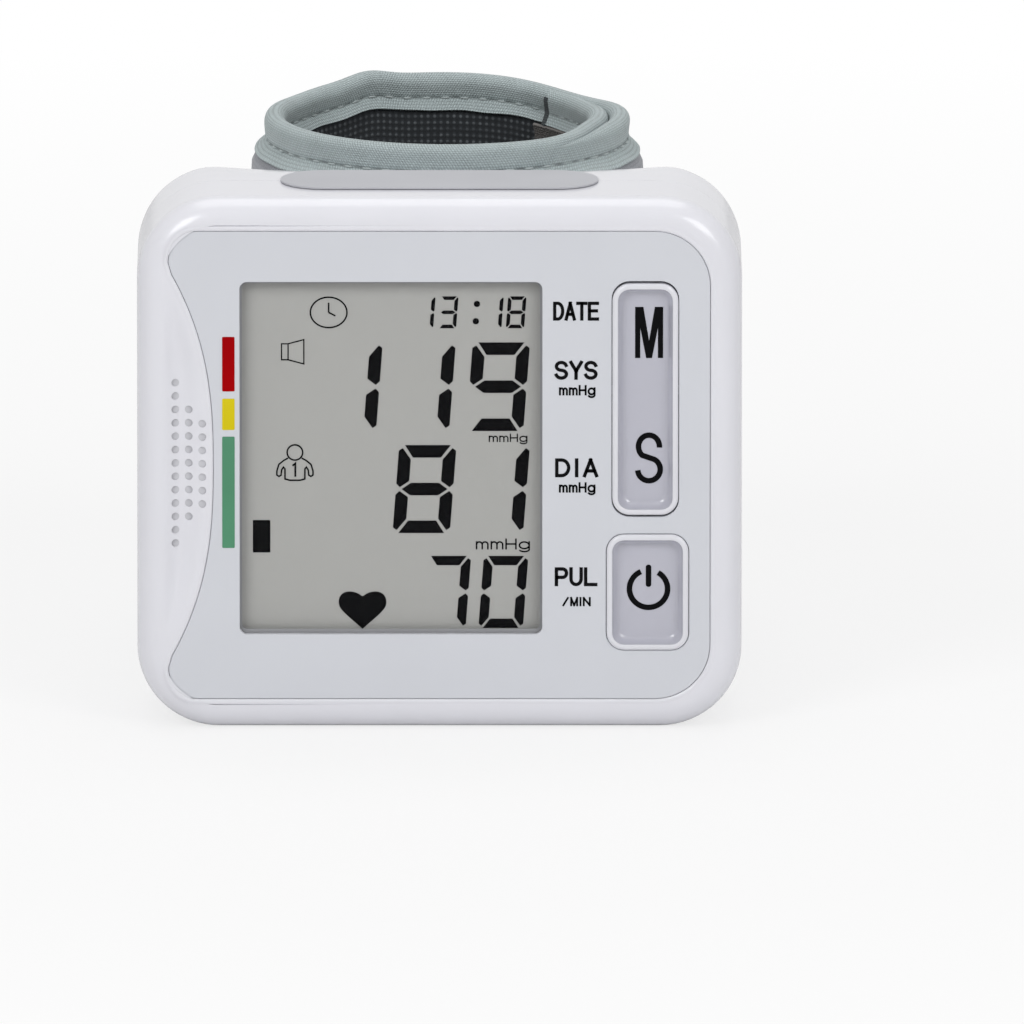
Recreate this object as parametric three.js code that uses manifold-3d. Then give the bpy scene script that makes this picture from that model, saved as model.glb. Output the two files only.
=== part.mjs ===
// Wrist blood pressure monitor: a two-shell housing with display, keys, pump, valve and cells,
// carried on a padded wrist cuff that closes with a swinging strap.
// Millimetres, +Z up. The origin is the centre of the housing's flat bottom face, the display faces -Y.
import * as THREE from 'three';
import { mergeVertices } from 'three/addons/utils/BufferGeometryUtils.js';
import Module from 'manifold-3d';

// Housing sizes
const housingWidth = 76;
const housingHeight = 68;
const housingDepth = 29;
const housingCorner = 10.3;
const frontFillet = 3.2;
const rearFillet = 8;
const wall = 2;
const frontWall = 3.1;
const rearShellDepth = 16.5;
const lipHeight = 1.5;
const lipWall = 1;

// Clearances
const seat = 0.3;
const keyGap = 0.35;
const cut = 1;

// Panel, window and display
const panelMargin = 4;
const panelCorner = 7;
const panelTip = 2;
const panelShoulder = 3.6;
const panelThickness = 0.6;
const panelSetback = 0.1;
const panelArcBulge = 5.6;
const panelArcFromEnd = 8.5;
const panelArcEase = 14;
const windowFromLeft = 12.9;
const windowFromRight = 25.1;
const windowFromTop = 10.5;
const windowFromBottom = 12.3;
const windowCorner = 0.9;
const windowFlange = 1;
const windowThickness = 0.8;
const glassThickness = 2;
const holderWall = 0.8;
const holderLedge = 3;
const zebraWidth = 2;

// Speaker scoop and holes
const scoopDepth = 0.8;
const scoopFromEnd = 8;
const scoopReach = 4.4;
const scoopInset = 6.7;
const speakerHole = 1;
const speakerPitch = 1.7;
const speakerColumns = [[4.8, 13], [6.5, 9], [8.2, 7]];
const speakerGap = 0.7;
const speakerLength = 20;
const speakerHeight = 3.5;
const speakerFlat = 0.1;

// Keys
const rockerWidth = 8.3;
const rockerHeight = 29.7;
const rockerFromRight = 12.15;
const rockerRise = 8.5;
const powerWidth = 10.3;
const powerHeight = 14.4;
const powerFromRight = 11.85;
const powerDrop = 16.5;
const keyCorner = 2.2;
const keyProud = 0.4;
const keyRim = 0.85;
const lensThickness = 0.6;
const lensSink = 0.3;
const keyFlange = 1;
const keyFlangeThickness = 0.8;
const rockerFlangeDrop = 1;
const nubRadius = 1;
const switchReach = 9;
const pinRadius = 0.6;
const pinBelowFlange = 1;
const lugWidth = 3;
const earThickness = 1.6;
const earBelowPin = 0.5;

// Circuit board and what stands on it
const boardThickness = 1.6;
const boardGap = 4.1;
const boardEndInset = 9.5;
const boardRightInset = 3.5;
const boardLeftInset = 12.5;
const boardPostRadius = 1.5;
const boardPostFromRight = 20.7;
const boardPostFromEnd = 12;
const switchSize = 6;
const switchBodyHeight = 1.2;
const plungerRadius = 1.5;
const plungerHeight = 1;
const plungerTopRise = 2;
const chipSize = 10;
const chipHeight = 1.4;
const chipX = 3;
const sensorSize = 7;
const sensorHeight = 3.4;

// Pump, valve and air line
const pumpFromLeft = 16;
const motorRadius = 6;
const motorLength = 16;
const shaftRadius = 0.8;
const shaftSink = 3;
const pumpHeadRadius = 6.5;
const pumpHeadLength = 12;
const crankCavity = 7;
const crankRadius = 4;
const crankThickness = 2;
const crankPinOffset = 2;
const nippleRadius = 1.2;
const nippleLength = 4;
const hoseBore = 1.5;
const hoseRadius = 2.2;
const teeFromPump = 14;
const teeAbovePump = 5;
const teeSize = 6;
const valveWidth = 10;
const valveLength = 15;
const valveHoseGap = 3;
const valvePlungerRadius = 1.6;
const valvePlungerLength = 8;
const valvePlungerProud = 2;
const valvePlungerStroke = 2;
const valvePadSpread = 4.5;
const valvePadWidth = 2;

// Battery bay
const cellRadius = 5.25;
const cellFromEnd = 11.75;
const cellSpacing = 11;
const cellEndRoom = 2.6;
const cellLift = 0.1;
const capRadius = 2.2;
const capHeight = 1;
const bayWall = 1.2;
const contactThickness = 0.4;
const contactWidth = 7;
const springWire = 0.2;
const springTurns = 3;
const springBase = 3.6;
const springTop = 1.6;
const doorDepth = 11.6;
const doorFromBack = 2.2;
const doorGrooves = 3;
const grooveDepth = 0.5;
const groovePitch = 2.4;

// Screws
const screwInsetX = 10;
const screwInsetY = 5;
const screwHeadRadius = 2;
const screwHeadHeight = 1.6;
const screwShankRadius = 0.9;
const screwShankLength = 13;
const screwHeadDepth = 5;
const screwCrossArm = 1.2;
const screwCrossHalf = 0.3;
const screwCrossDepth = 0.8;
const bossWall = 1.1;
const plateScrewSpread = 16;
const plateScrewLength = 3;

// Sticker on the top of the housing
const stickerLength = 40;
const stickerWidth = 11;
const stickerCorner = 5.4;
const stickerLift = 0.1;
const stickerThickness = 0.2;
const stickerFromFront = 6.6;

// Cuff
const cuffHeight = 68;
const loopHalfWidth = 21.9;
const loopHalfDepth = 20.8;
const loopCentreX = 1.3;
const plateEdge = 3.6;
const plateHeight = 50;
const plateThickness = 1.6;
const coverInner = 0.4;
const coverOuter = 1;
const coverCrown = 1.6;
const linerInner = 0.6;
const linerOuter = 1;
const linerCrown = 0.5;
const bladderInner = 0.3;
const bladderOuter = 0.1;
const bladderInset = 8;
const bindingWidth = 4.6;
const bindingThickness = 0.4;
const patchThickness = 0.7;
const patchHeight = 40;
const hingeAngle = 114;
const hingeGapAngle = 0.8;
const strapEndAngle = -24;
const tabEaseStart = 286;
const tabEaseEnd = 332;
const tabEndAngle = 411;
const bladderStartAngle = 130;
const bladderEndAngle = 300;
const patchStartAngle = 30;
const patchEndAngle = -18;
const bandStep = 10;

// Facet counts
const cornerSteps = 3;
const filletSteps = 4;
const roundSides = 16;
const smallSides = 8;
const hoseSides = 4;
const hoseSteps = 14;
const dotSides = 6;
const scoopSides = 24;
const springSteps = 10;
const springSides = 2;

// Planes that the pieces share, in housing axes: x right, y up, z towards the viewer
const front = housingDepth / 2;
const back = -front;
const seam = back + rearShellDepth;
const middle = housingHeight / 2;
const side = housingWidth / 2;
const panelTop = front - panelSetback;
const panelBack = panelTop - panelThickness;
const panelFloor = panelBack - seat;
const windowTop = panelFloor;
const windowBack = windowTop - windowThickness;
const windowFloor = windowBack - seat;
const wallInside = front - frontWall;
const glassTop = wallInside - seat;
const glassBack = glassTop - glassThickness;
const boardFront = wallInside - boardGap - seat;
const boardBack = boardFront - boardThickness;
const rearInside = back + wall;
const windowWidth = housingWidth - windowFromLeft - windowFromRight;
const windowHeight = housingHeight - windowFromTop - windowFromBottom;
const windowX = (windowFromLeft - windowFromRight) / 2;
const windowY = windowFromBottom + windowHeight / 2;
const panelRight = side - panelMargin;
const panelArcReach = middle - panelArcFromEnd;
const scoopHalfHeight = middle - scoopFromEnd;
const rockerX = side - rockerFromRight;
const rockerY = middle + rockerRise;
const powerX = side - powerFromRight;
const powerY = middle - powerDrop;
const keyTop = panelTop + keyProud;
const bossBase = seam - lipHeight - seat;
const bossRadius = screwHeadRadius + seat + bossWall;
const airZ = rearInside + seat + pumpHeadRadius;
const pumpX = pumpFromLeft - side;
const pumpFloor = screwInsetY + bossRadius + seat;
const motorTop = pumpFloor + motorLength;
const headTop = motorTop + seat + pumpHeadLength;
const nippleTop = headTop + nippleLength;
const teeX = pumpX + teeFromPump;
const teeY = nippleTop + teeAbovePump;
const valveTop = teeY - teeSize / 2 - valveHoseGap - nippleLength / 2;
const valveLow = valveTop - valveLength;
const hollowFillet = Math.max(frontFillet - wall, seat);

const wasm = await Module();
wasm.setup();

// Turn a three.js geometry into a solid that can be joined and cut
function solidOf(geometry) {
  const bare = geometry.clone();
  bare.deleteAttribute('normal');
  bare.deleteAttribute('uv');
  const merged = mergeVertices(bare, 1e-4);
  const corners = merged.index.array;
  const kept = [];
  for (let i = 0; i < corners.length; i += 3) {
    const [a, b, c] = [corners[i], corners[i + 1], corners[i + 2]];
    if (a !== b && b !== c && c !== a) kept.push(a, b, c);
  }
  return new wasm.Manifold(new wasm.Mesh({
    numProp: 3,
    vertProperties: new Float32Array(merged.attributes.position.array),
    triVerts: new Uint32Array(kept),
  }));
}

// Turn a solid back into a geometry
function geometryOf(solid) {
  const mesh = solid.getMesh();
  const geometry = new THREE.BufferGeometry();
  geometry.setAttribute('position', new THREE.BufferAttribute(mesh.vertProperties, 3));
  geometry.setIndex(new THREE.BufferAttribute(mesh.triVerts, 1));
  geometry.computeVertexNormals();
  return geometry;
}

// A box given by its low and high corners
function block(low, high) {
  const size = high.map((value, i) => value - low[i]);
  const centre = high.map((value, i) => (value + low[i]) / 2);
  return solidOf(new THREE.BoxGeometry(...size).translate(...centre));
}

// A round bar from one point to another
function bar(from, to, radius, sides = roundSides) {
  const start = new THREE.Vector3(...from);
  const run = new THREE.Vector3(...to).sub(start);
  const geometry = new THREE.CylinderGeometry(radius, radius, run.length(), sides);
  geometry.translate(0, run.length() / 2, 0);
  const turn = new THREE.Quaternion().setFromUnitVectors(new THREE.Vector3(0, 1, 0), run.clone().normalize());
  return solidOf(geometry.applyQuaternion(turn).translate(start.x, start.y, start.z));
}

// A rectangle with round corners, given by its centre and size
function roundedRectangle(x, y, width, height, radius) {
  const [left, right] = [x - width / 2, x + width / 2];
  const [low, high] = [y - height / 2, y + height / 2];
  const outline = new THREE.Shape();
  outline.absarc(right - radius, low + radius, radius, -Math.PI / 2, 0);
  outline.absarc(right - radius, high - radius, radius, 0, Math.PI / 2);
  outline.absarc(left + radius, high - radius, radius, Math.PI / 2, Math.PI);
  outline.absarc(left + radius, low + radius, radius, Math.PI, Math.PI * 1.5);
  return outline;
}

// A flat plate between two heights
function plate(outline, low, high, steps = cornerSteps) {
  const options = { depth: high - low, bevelEnabled: false, curveSegments: steps };
  return solidOf(new THREE.ExtrudeGeometry(outline, options).translate(0, 0, low));
}

// A block with rounded edges at both ends
function filletedBlock(outline, low, high, fillet) {
  const geometry = new THREE.ExtrudeGeometry(outline, {
    depth: high - low - 2 * fillet,
    curveSegments: cornerSteps,
    bevelEnabled: true,
    bevelThickness: fillet,
    bevelSize: fillet,
    bevelOffset: -fillet,
    bevelSegments: filletSteps,
  });
  return solidOf(geometry.translate(0, 0, low + fillet));
}

// The housing's outline, drawn in from the outside by an inset
function housingOutline(inset) {
  const [width, height] = [housingWidth - 2 * inset, housingHeight - 2 * inset];
  return roundedRectangle(0, middle, width, height, housingCorner - inset);
}

// A slab of the housing between two heights, wider than any piece
function slab(low, high) {
  return block([-housingWidth, -housingHeight, low], [housingWidth, 2 * housingHeight, high]);
}

// A ring of the housing's wall between two insets
function wallRing(outside, inside, low, high) {
  const hole = plate(housingOutline(inside), low - cut, high + cut);
  return plate(housingOutline(outside), low, high).subtract(hole);
}

const finishes = {
  shell: { color: 0xe4e4ea, roughness: 0.3, metalness: 0 },
  panel: { color: 0xd2d7da, roughness: 0.35, metalness: 0 },
  clear: { color: 0xa8a8a5, roughness: 0.1, metalness: 0 },
  key: { color: 0xd8d8e2, roughness: 0.2, metalness: 0 },
  board: { color: 0x2c6a45, roughness: 0.6, metalness: 0 },
  dark: { color: 0x2a2a2c, roughness: 0.6, metalness: 0 },
  steel: { color: 0xb4b6b8, roughness: 0.35, metalness: 1 },
  brass: { color: 0xb08d4a, roughness: 0.4, metalness: 1 },
  rubber: { color: 0xc8c8c4, roughness: 0.8, metalness: 0 },
  sticker: { color: 0xc4c6c8, roughness: 0.4, metalness: 0 },
  cover: { color: 0x96989e, roughness: 0.9, metalness: 0 },
  liner: { color: 0x4a4c4e, roughness: 0.95, metalness: 0 },
  binding: { color: 0xa8b2b2, roughness: 0.9, metalness: 0 },
  cell: { color: 0x3d5a78, roughness: 0.35, metalness: 0.3 },
};

const monitor = new THREE.Group();
const housing = new THREE.Group();
housing.rotation.x = Math.PI / 2;
const cuff = new THREE.Group();
monitor.add(housing, cuff);

// Add a named piece to its group
function addPiece(parent, name, solid, finish) {
  const mesh = new THREE.Mesh(geometryOf(solid), new THREE.MeshStandardMaterial(finishes[finish]));
  mesh.name = name;
  parent.add(mesh);
}

// The panel's outline: three straight sides and a left side that bulges towards the display
function panelOutline(grow) {
  const [right, low, high] = [panelRight + grow, panelMargin - grow, housingHeight - panelMargin + grow];
  const left = panelMargin - side - grow;
  const corner = panelCorner + grow;
  const apex = left + panelArcBulge;
  const tipRise = panelArcReach - panelTip;
  const tipX = apex - panelArcBulge * (tipRise / panelArcReach) ** 2;
  const outline = new THREE.Shape();
  outline.moveTo(left + panelShoulder, low);
  outline.absarc(right - corner, low + corner, corner, -Math.PI / 2, 0);
  outline.absarc(right - corner, high - corner, corner, 0, Math.PI / 2);
  outline.lineTo(left + panelShoulder, high);
  outline.quadraticCurveTo(left, high, left, middle + panelArcReach);
  outline.quadraticCurveTo(left, middle + tipRise + panelTip / 2, tipX, middle + tipRise);
  const arcX = (4 * apex - tipX) / 3;
  outline.bezierCurveTo(arcX, middle + panelArcEase, arcX, middle - panelArcEase, tipX, middle - tipRise);
  outline.quadraticCurveTo(left, middle - tipRise - panelTip / 2, left, middle - panelArcReach);
  outline.quadraticCurveTo(left, low, left + panelShoulder, low);
  return outline;
}

// The visible window grown on every side
function windowOutline(grow) {
  const radius = Math.max(windowCorner + grow, windowCorner / 2);
  return roundedRectangle(windowX, windowY, windowWidth + 2 * grow, windowHeight + 2 * grow, radius);
}

// A key's outline grown on every side
function rockerOutline(grow) {
  const [width, height] = [rockerWidth + 2 * grow, rockerHeight + 2 * grow];
  return roundedRectangle(rockerX, rockerY, width, height, keyCorner + grow);
}

function powerOutline(grow) {
  const [width, height] = [powerWidth + 2 * grow, powerHeight + 2 * grow];
  return roundedRectangle(powerX, powerY, width, height, keyCorner + grow);
}

const screwPlaces = [];
for (const x of [screwInsetX - side, side - screwInsetX]) {
  for (const y of [screwInsetY, housingHeight - screwInsetY]) screwPlaces.push([x, y]);
}
const boardPostSpread = middle - boardPostFromEnd;
const boardPosts = [-1, 0, 1].map((step) => [side - boardPostFromRight, middle + step * boardPostSpread]);

// Rocker pivot: a steel pin held by two ears of the front shell
const rockerFlangeTop = wallInside - rockerFlangeDrop;
const rockerFlangeBack = rockerFlangeTop - keyFlangeThickness;
const pivotZ = rockerFlangeBack - pinBelowFlange;
const earStart = rockerWidth / 2 + keyFlange + seat;
const earEnd = earStart + earThickness;
const earLow = pivotZ - pinRadius - earBelowPin;

function speakerCentres() {
  const places = [];
  for (const [inset, count] of speakerColumns) {
    for (let i = 0; i < count; i += 1) {
      places.push([inset - side, middle + (i - (count - 1) / 2) * speakerPitch]);
    }
  }
  return places;
}

// Front shell: the rim round the panel, with the scoop, the key wells and the posts behind
function frontShell() {
  let shell = filletedBlock(housingOutline(0), back, front, frontFillet).intersect(slab(seam, front + cut));
  const hollow = filletedBlock(housingOutline(wall), back, wallInside, hollowFillet);
  shell = shell.subtract(hollow);
  shell = shell.add(wallRing(wall / 2, wall + seat + lipWall, seam + seat, seam + seat + lipHeight));
  shell = shell.add(wallRing(wall + seat, wall + seat + lipWall, seam - lipHeight, seam + seat + lipHeight));
  const insideLip = plate(housingOutline(wall + seat), back, front);
  for (const [x, y] of screwPlaces) {
    const post = bar([x, y, bossBase + seat], [x, y, wallInside + cut], bossRadius - seat);
    shell = shell.add(post.intersect(insideLip));
  }
  for (const [x, y] of boardPosts) {
    shell = shell.add(bar([x, y, boardFront + seat], [x, y, wallInside + cut], boardPostRadius, smallSides));
  }
  for (const direction of [-1, 1]) {
    const ends = [rockerX + direction * earStart, rockerX + direction * earEnd].sort((a, b) => a - b);
    const low = [ends[0], rockerY - lugWidth / 2, earLow];
    shell = shell.add(block(low, [ends[1], rockerY + lugWidth / 2, wallInside + cut]));
  }
  const pinReach = earEnd - seat;
  const pinHole = [[rockerX - pinReach, rockerY, pivotZ], [rockerX + pinReach, rockerY, pivotZ]];
  shell = shell.subtract(bar(...pinHole, pinRadius + seat, smallSides));
  shell = shell.subtract(plate(panelOutline(seat), panelFloor, front + cut, 2 * cornerSteps));
  shell = shell.subtract(plate(windowOutline(windowFlange + seat), windowFloor, front));
  shell = shell.subtract(plate(windowOutline(0), wallInside - cut, front));
  shell = shell.subtract(plate(rockerOutline(keyGap), wallInside - cut, front + cut));
  shell = shell.subtract(plate(powerOutline(keyGap), wallInside - cut, front + cut));
  const scoop = new THREE.SphereGeometry(1, scoopSides, scoopSides / 2);
  scoop.scale(scoopReach, scoopHalfHeight, scoopDepth + cut);
  shell = shell.subtract(solidOf(scoop.translate(scoopInset - side, middle, front + cut)));
  for (const [x, y] of speakerCentres()) {
    shell = shell.subtract(bar([x, y, wallInside - cut], [x, y, front + cut], speakerHole / 2, dotSides));
  }
  for (const [x, y] of screwPlaces) {
    const tip = [x, y, back + screwHeadDepth + screwShankLength + cut];
    shell = shell.subtract(bar([x, y, back], tip, screwShankRadius + seat, smallSides));
  }
  return shell;
}

// Battery bay places, measured from the right-hand wall and the back
const cellLength = housingHeight - 2 * cellFromEnd;
const cellOuterX = side - wall - seat - cellRadius - seat;
const cellInnerX = cellOuterX - cellSpacing;
const cellZ = rearInside + seat + cellRadius + cellLift;
const bayLeft = cellInnerX - cellRadius - seat - bayWall;
const bayHalf = cellLength / 2 + cellEndRoom + contactThickness + seat;
const bayTop = cellZ + cellRadius + seat;
const doorLow = back + doorFromBack;
const doorHigh = doorLow + doorDepth;

// The bay door's opening, drawn in by a gap
function doorBlock(gap) {
  const low = [side - 2 * wall, middle - bayHalf + gap, doorLow + gap];
  return block(low, [side + cut, middle + bayHalf - gap, doorHigh - gap]);
}

function rearOuter() {
  const whole = filletedBlock(housingOutline(0), back, front + housingDepth, rearFillet);
  return whole.intersect(slab(back - cut, seam));
}

function rearHollow() {
  return filletedBlock(housingOutline(wall), rearInside, front + housingDepth, rearFillet - wall);
}

// Rear shell: the deep half, with screw bosses, the bay's walls and pads under the valve
function rearShell() {
  const outer = rearOuter();
  const bayEnd = bayHalf + bayWall;
  let inner = block([bayLeft, middle - bayEnd, back], [bayLeft + bayWall, middle + bayEnd, bayTop]);
  for (const direction of [-1, 1]) {
    const ends = [middle + direction * bayHalf, middle + direction * bayEnd].sort((a, b) => a - b);
    inner = inner.add(block([bayLeft, ends[0], back], [side, ends[1], bayTop]));
  }
  for (const [x, y] of screwPlaces) {
    inner = inner.add(bar([x, y, back], [x, y, bossBase - seat], bossRadius));
  }
  const padTop = airZ - valveWidth / 2 - seat;
  const padHalf = [valveWidth / 2, valvePadWidth / 2];
  for (const direction of [-1, 1]) {
    const y = valveTop - valveLength / 2 + direction * valvePadSpread;
    const low = [teeX - padHalf[0], y - padHalf[1], back];
    inner = inner.add(block(low, [teeX + padHalf[0], y + padHalf[1], padTop]));
  }
  let shell = outer.subtract(rearHollow()).add(inner.intersect(outer));
  shell = shell.subtract(doorBlock(0));
  for (const [x, y] of screwPlaces) {
    shell = shell.subtract(bar([x, y, back - cut], [x, y, back + screwHeadDepth], screwHeadRadius + seat));
    shell = shell.subtract(bar([x, y, back], [x, y, seam], screwShankRadius + seat, smallSides));
  }
  shell = shell.subtract(bar([teeX, teeY, back - cut], [teeX, teeY, rearInside + cut], hoseRadius + seat));
  for (const direction of [-1, 1]) {
    const y = middle + direction * plateScrewSpread;
    const tip = [loopCentreX, y, back - cut];
    const hole = bar(tip, [loopCentreX, y, rearInside + cut], screwShankRadius + seat, smallSides);
    shell = shell.subtract(hole);
  }
  return shell;
}

// Battery door: the piece of the rear wall that fills the bay's opening, with thumb grooves
function batteryDoor() {
  let door = rearOuter().subtract(rearHollow()).intersect(doorBlock(seat));
  for (let i = 0; i < doorGrooves; i += 1) {
    const y = middle + (i - (doorGrooves - 1) / 2) * groovePitch;
    const low = [side - grooveDepth, y - groovePitch / 4, doorLow + rearFillet];
    door = door.subtract(block(low, [side + cut, y + groovePitch / 4, doorHigh - cut]));
  }
  return door;
}

addPiece(housing, 'front_shell', frontShell(), 'shell');
addPiece(housing, 'rear_shell', rearShell(), 'shell');
addPiece(housing, 'battery_door', batteryDoor(), 'shell');

// Front panel: a thin plate let into the front shell
function frontPanel() {
  let panel = plate(panelOutline(0), panelBack, panelTop, 2 * cornerSteps);
  panel = panel.subtract(plate(windowOutline(0), panelBack - cut, panelTop + cut));
  panel = panel.subtract(plate(rockerOutline(keyGap), panelBack - cut, panelTop + cut));
  return panel.subtract(plate(powerOutline(keyGap), panelBack - cut, panelTop + cut));
}

addPiece(housing, 'front_panel', frontPanel(), 'panel');
addPiece(housing, 'display_window', plate(windowOutline(windowFlange), windowBack, windowTop), 'clear');

// Display glass: a plate behind the front wall with its face standing up in the window's opening
const glassPlate = plate(windowOutline(windowFlange), glassBack, glassTop);
const glassFace = plate(windowOutline(-seat), glassTop - cut, windowBack - seat);
addPiece(housing, 'lcd_glass', glassPlate.add(glassFace), 'clear');

// Display holder: a frame that keeps the glass against the front wall
function displayHolder() {
  const base = boardFront + seat;
  const rise = holderWall + seat + windowFlange;
  let holder = plate(windowOutline(rise), base, glassTop - seat);
  holder = holder.subtract(plate(windowOutline(windowFlange + seat), glassBack - seat, glassTop));
  const opening = roundedRectangle(windowX, windowY, windowWidth - 2 * holderLedge,
    windowHeight - 2 * holderLedge, windowCorner);
  return holder.subtract(plate(opening, base - cut, glassTop));
}

addPiece(housing, 'lcd_holder', displayHolder(), 'shell');

// Rubber strip that carries the signals from the board to the glass, inside the holder's opening
const zebraY = windowY - windowHeight / 2 + holderLedge + seat;
const zebraHalf = windowWidth / 2 - holderLedge - cut;
const zebraLow = [windowX - zebraHalf, zebraY, boardFront + seat];
const zebraHigh = [windowX + zebraHalf, zebraY + zebraWidth, glassBack - seat];
addPiece(housing, 'zebra_strip', block(zebraLow, zebraHigh), 'dark');

// A key cap: a rimmed cap in its well, a flange behind the wall and nubs over its switches
function keyCap(outline, flangeTop, nubs) {
  const flangeBack = flangeTop - keyFlangeThickness;
  let cap = plate(outline(0), flangeTop - keyFlangeThickness / 2, keyTop);
  cap = cap.add(plate(outline(keyFlange), flangeBack, flangeTop));
  const lensFloor = keyTop - lensSink - lensThickness - seat;
  cap = cap.subtract(plate(outline(-keyRim), lensFloor, keyTop + cut));
  for (const [x, y] of nubs) {
    cap = cap.add(bar([x, y, boardFront + plungerTopRise + seat], [x, y, flangeTop], nubRadius, smallSides));
  }
  return cap;
}

function keyLens(outline) {
  const top = keyTop - lensSink;
  return plate(outline(-keyRim - seat), top - lensThickness, top);
}

const memoryPlace = [rockerX, rockerY + switchReach];
const setPlace = [rockerX, rockerY - switchReach];
const powerPlace = [powerX, powerY];

function rockerKey() {
  let cap = keyCap(rockerOutline, rockerFlangeTop, [memoryPlace, setPlace]);
  const lugHalf = rockerWidth / 2;
  const lugLow = [rockerX - lugHalf, rockerY - lugWidth / 2, earLow];
  cap = cap.add(block(lugLow, [rockerX + lugHalf, rockerY + lugWidth / 2, rockerFlangeTop]));
  const hole = [[rockerX - lugHalf - cut, rockerY, pivotZ], [rockerX + lugHalf + cut, rockerY, pivotZ]];
  return cap.subtract(bar(...hole, pinRadius + seat, smallSides));
}

addPiece(housing, 'memory_set_key', rockerKey(), 'key');
addPiece(housing, 'memory_set_lens', keyLens(rockerOutline), 'key');
const pinEnds = [-1, 1].map((direction) => [rockerX + direction * (earEnd - 2 * seat), rockerY, pivotZ]);
addPiece(housing, 'rocker_pin', bar(...pinEnds, pinRadius, smallSides), 'steel');
addPiece(housing, 'power_key', keyCap(powerOutline, wallInside - seat, [powerPlace]), 'key');
addPiece(housing, 'power_lens', keyLens(powerOutline), 'key');

// Circuit board with its chip, key switches, pressure sensor and the speaker beside it
const boardLow = [boardLeftInset - side, boardEndInset, boardBack];
const boardHigh = [side - boardRightInset, housingHeight - boardEndInset, boardFront];
addPiece(housing, 'main_board', block(boardLow, boardHigh), 'board');
const chipLow = [chipX - chipSize / 2, middle - chipSize / 2, boardBack - seat - chipHeight];
const chipHigh = [chipX + chipSize / 2, middle + chipSize / 2, boardBack - seat];
addPiece(housing, 'processor_chip', block(chipLow, chipHigh), 'dark');

function addSwitch(name, [x, y]) {
  const half = switchSize / 2;
  const base = boardFront + seat;
  const body = block([x - half, y - half, base], [x + half, y + half, base + switchBodyHeight]);
  const well = bar([x, y, base - cut], [x, y, base + switchBodyHeight + cut], plungerRadius + seat);
  addPiece(housing, `${name}_switch`, body.subtract(well), 'dark');
  const top = boardFront + plungerTopRise;
  addPiece(housing, `${name}_plunger`, bar([x, y, top - plungerHeight], [x, y, top], plungerRadius), 'dark');
}

addSwitch('memory', memoryPlace);
addSwitch('set', setPlace);
addSwitch('power', powerPlace);

// Oval speaker behind its holes, between the housing's wall and the display holder
const speakerLeft = wall + seat + hollowFillet / 2 - side;
const holderLeft = windowX - windowWidth / 2 - windowFlange - seat - holderWall;
const speakerWidth = holderLeft - speakerGap - speakerLeft;
const speakerX = speakerLeft + speakerWidth / 2;
const speakerCorner = speakerWidth / 2 - speakerFlat;
const speakerTop = wallInside - seat;
const speakerOutline = roundedRectangle(speakerX, middle, speakerWidth, speakerLength, speakerCorner);
addPiece(housing, 'speaker', plate(speakerOutline, speakerTop - speakerHeight, speakerTop), 'dark');

// Air line: pump, valve, sensor and cuff meet at one tee
function pressureSensor() {
  const top = boardBack - seat;
  const half = sensorSize / 2;
  const body = block([teeX - half, teeY - half, top - sensorHeight], [teeX + half, teeY + half, top]);
  const nippleEnd = top - sensorHeight - nippleLength / 2;
  return body.add(bar([teeX, teeY, nippleEnd], [teeX, teeY, top - cut], nippleRadius));
}

function pumpMotor() {
  const body = bar([pumpX, pumpFloor, airZ], [pumpX, motorTop, airZ], motorRadius);
  const boreLow = motorTop - shaftSink - seat;
  return body.subtract(bar([pumpX, boreLow, airZ], [pumpX, motorTop + cut, airZ], shaftRadius + seat));
}

function pumpCrank() {
  const discLow = motorTop + seat + cut;
  const discHigh = discLow + crankThickness;
  const shaft = bar([pumpX, motorTop - shaftSink, airZ], [pumpX, discHigh, airZ], shaftRadius);
  const disc = bar([pumpX, discLow, airZ], [pumpX, discHigh, airZ], crankRadius);
  const pinX = pumpX + crankPinOffset;
  const pinTop = motorTop + crankCavity - seat;
  return shaft.add(disc).add(bar([pinX, discLow, airZ], [pinX, pinTop, airZ], shaftRadius));
}

function pumpHead() {
  const low = motorTop + seat;
  let head = bar([pumpX, low, airZ], [pumpX, headTop, airZ], pumpHeadRadius);
  head = head.add(bar([pumpX, headTop - cut, airZ], [pumpX, nippleTop, airZ], nippleRadius));
  const cavityRadius = crankRadius + cut;
  return head.subtract(bar([pumpX, low - cut, airZ], [pumpX, motorTop + crankCavity, airZ], cavityRadius));
}

function valveBody() {
  const half = valveWidth / 2;
  const box = block([teeX - half, valveLow, airZ - half], [teeX + half, valveTop, airZ + half]);
  const nipple = bar([teeX, valveTop - cut, airZ], [teeX, valveTop + nippleLength / 2, airZ], nippleRadius);
  const boreTop = valveLow + valvePlungerLength;
  const bore = bar([teeX, valveLow - cut, airZ], [teeX, boreTop, airZ], valvePlungerRadius + seat);
  return box.add(nipple).subtract(bore);
}

function valvePlunger() {
  const low = valveLow - valvePlungerProud;
  const top = valveLow + valvePlungerLength - valvePlungerStroke;
  return bar([teeX, low, airZ], [teeX, top, airZ], valvePlungerRadius);
}

// Tee: a small block with a spigot on four sides
const teeSpigots = [[-1, 0, 0], [0, -1, 0], [0, 0, 1], [0, 0, -1]];

function airTee() {
  const half = teeSize / 2;
  let tee = block([teeX - half, teeY - half, airZ - half], [teeX + half, teeY + half, airZ + half]);
  for (const [x, y, z] of teeSpigots) {
    const reach = half + nippleLength / 2;
    const end = [teeX + x * reach, teeY + y * reach, airZ + z * reach];
    tee = tee.add(bar([teeX, teeY, airZ], end, nippleRadius));
  }
  return tee;
}

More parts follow.
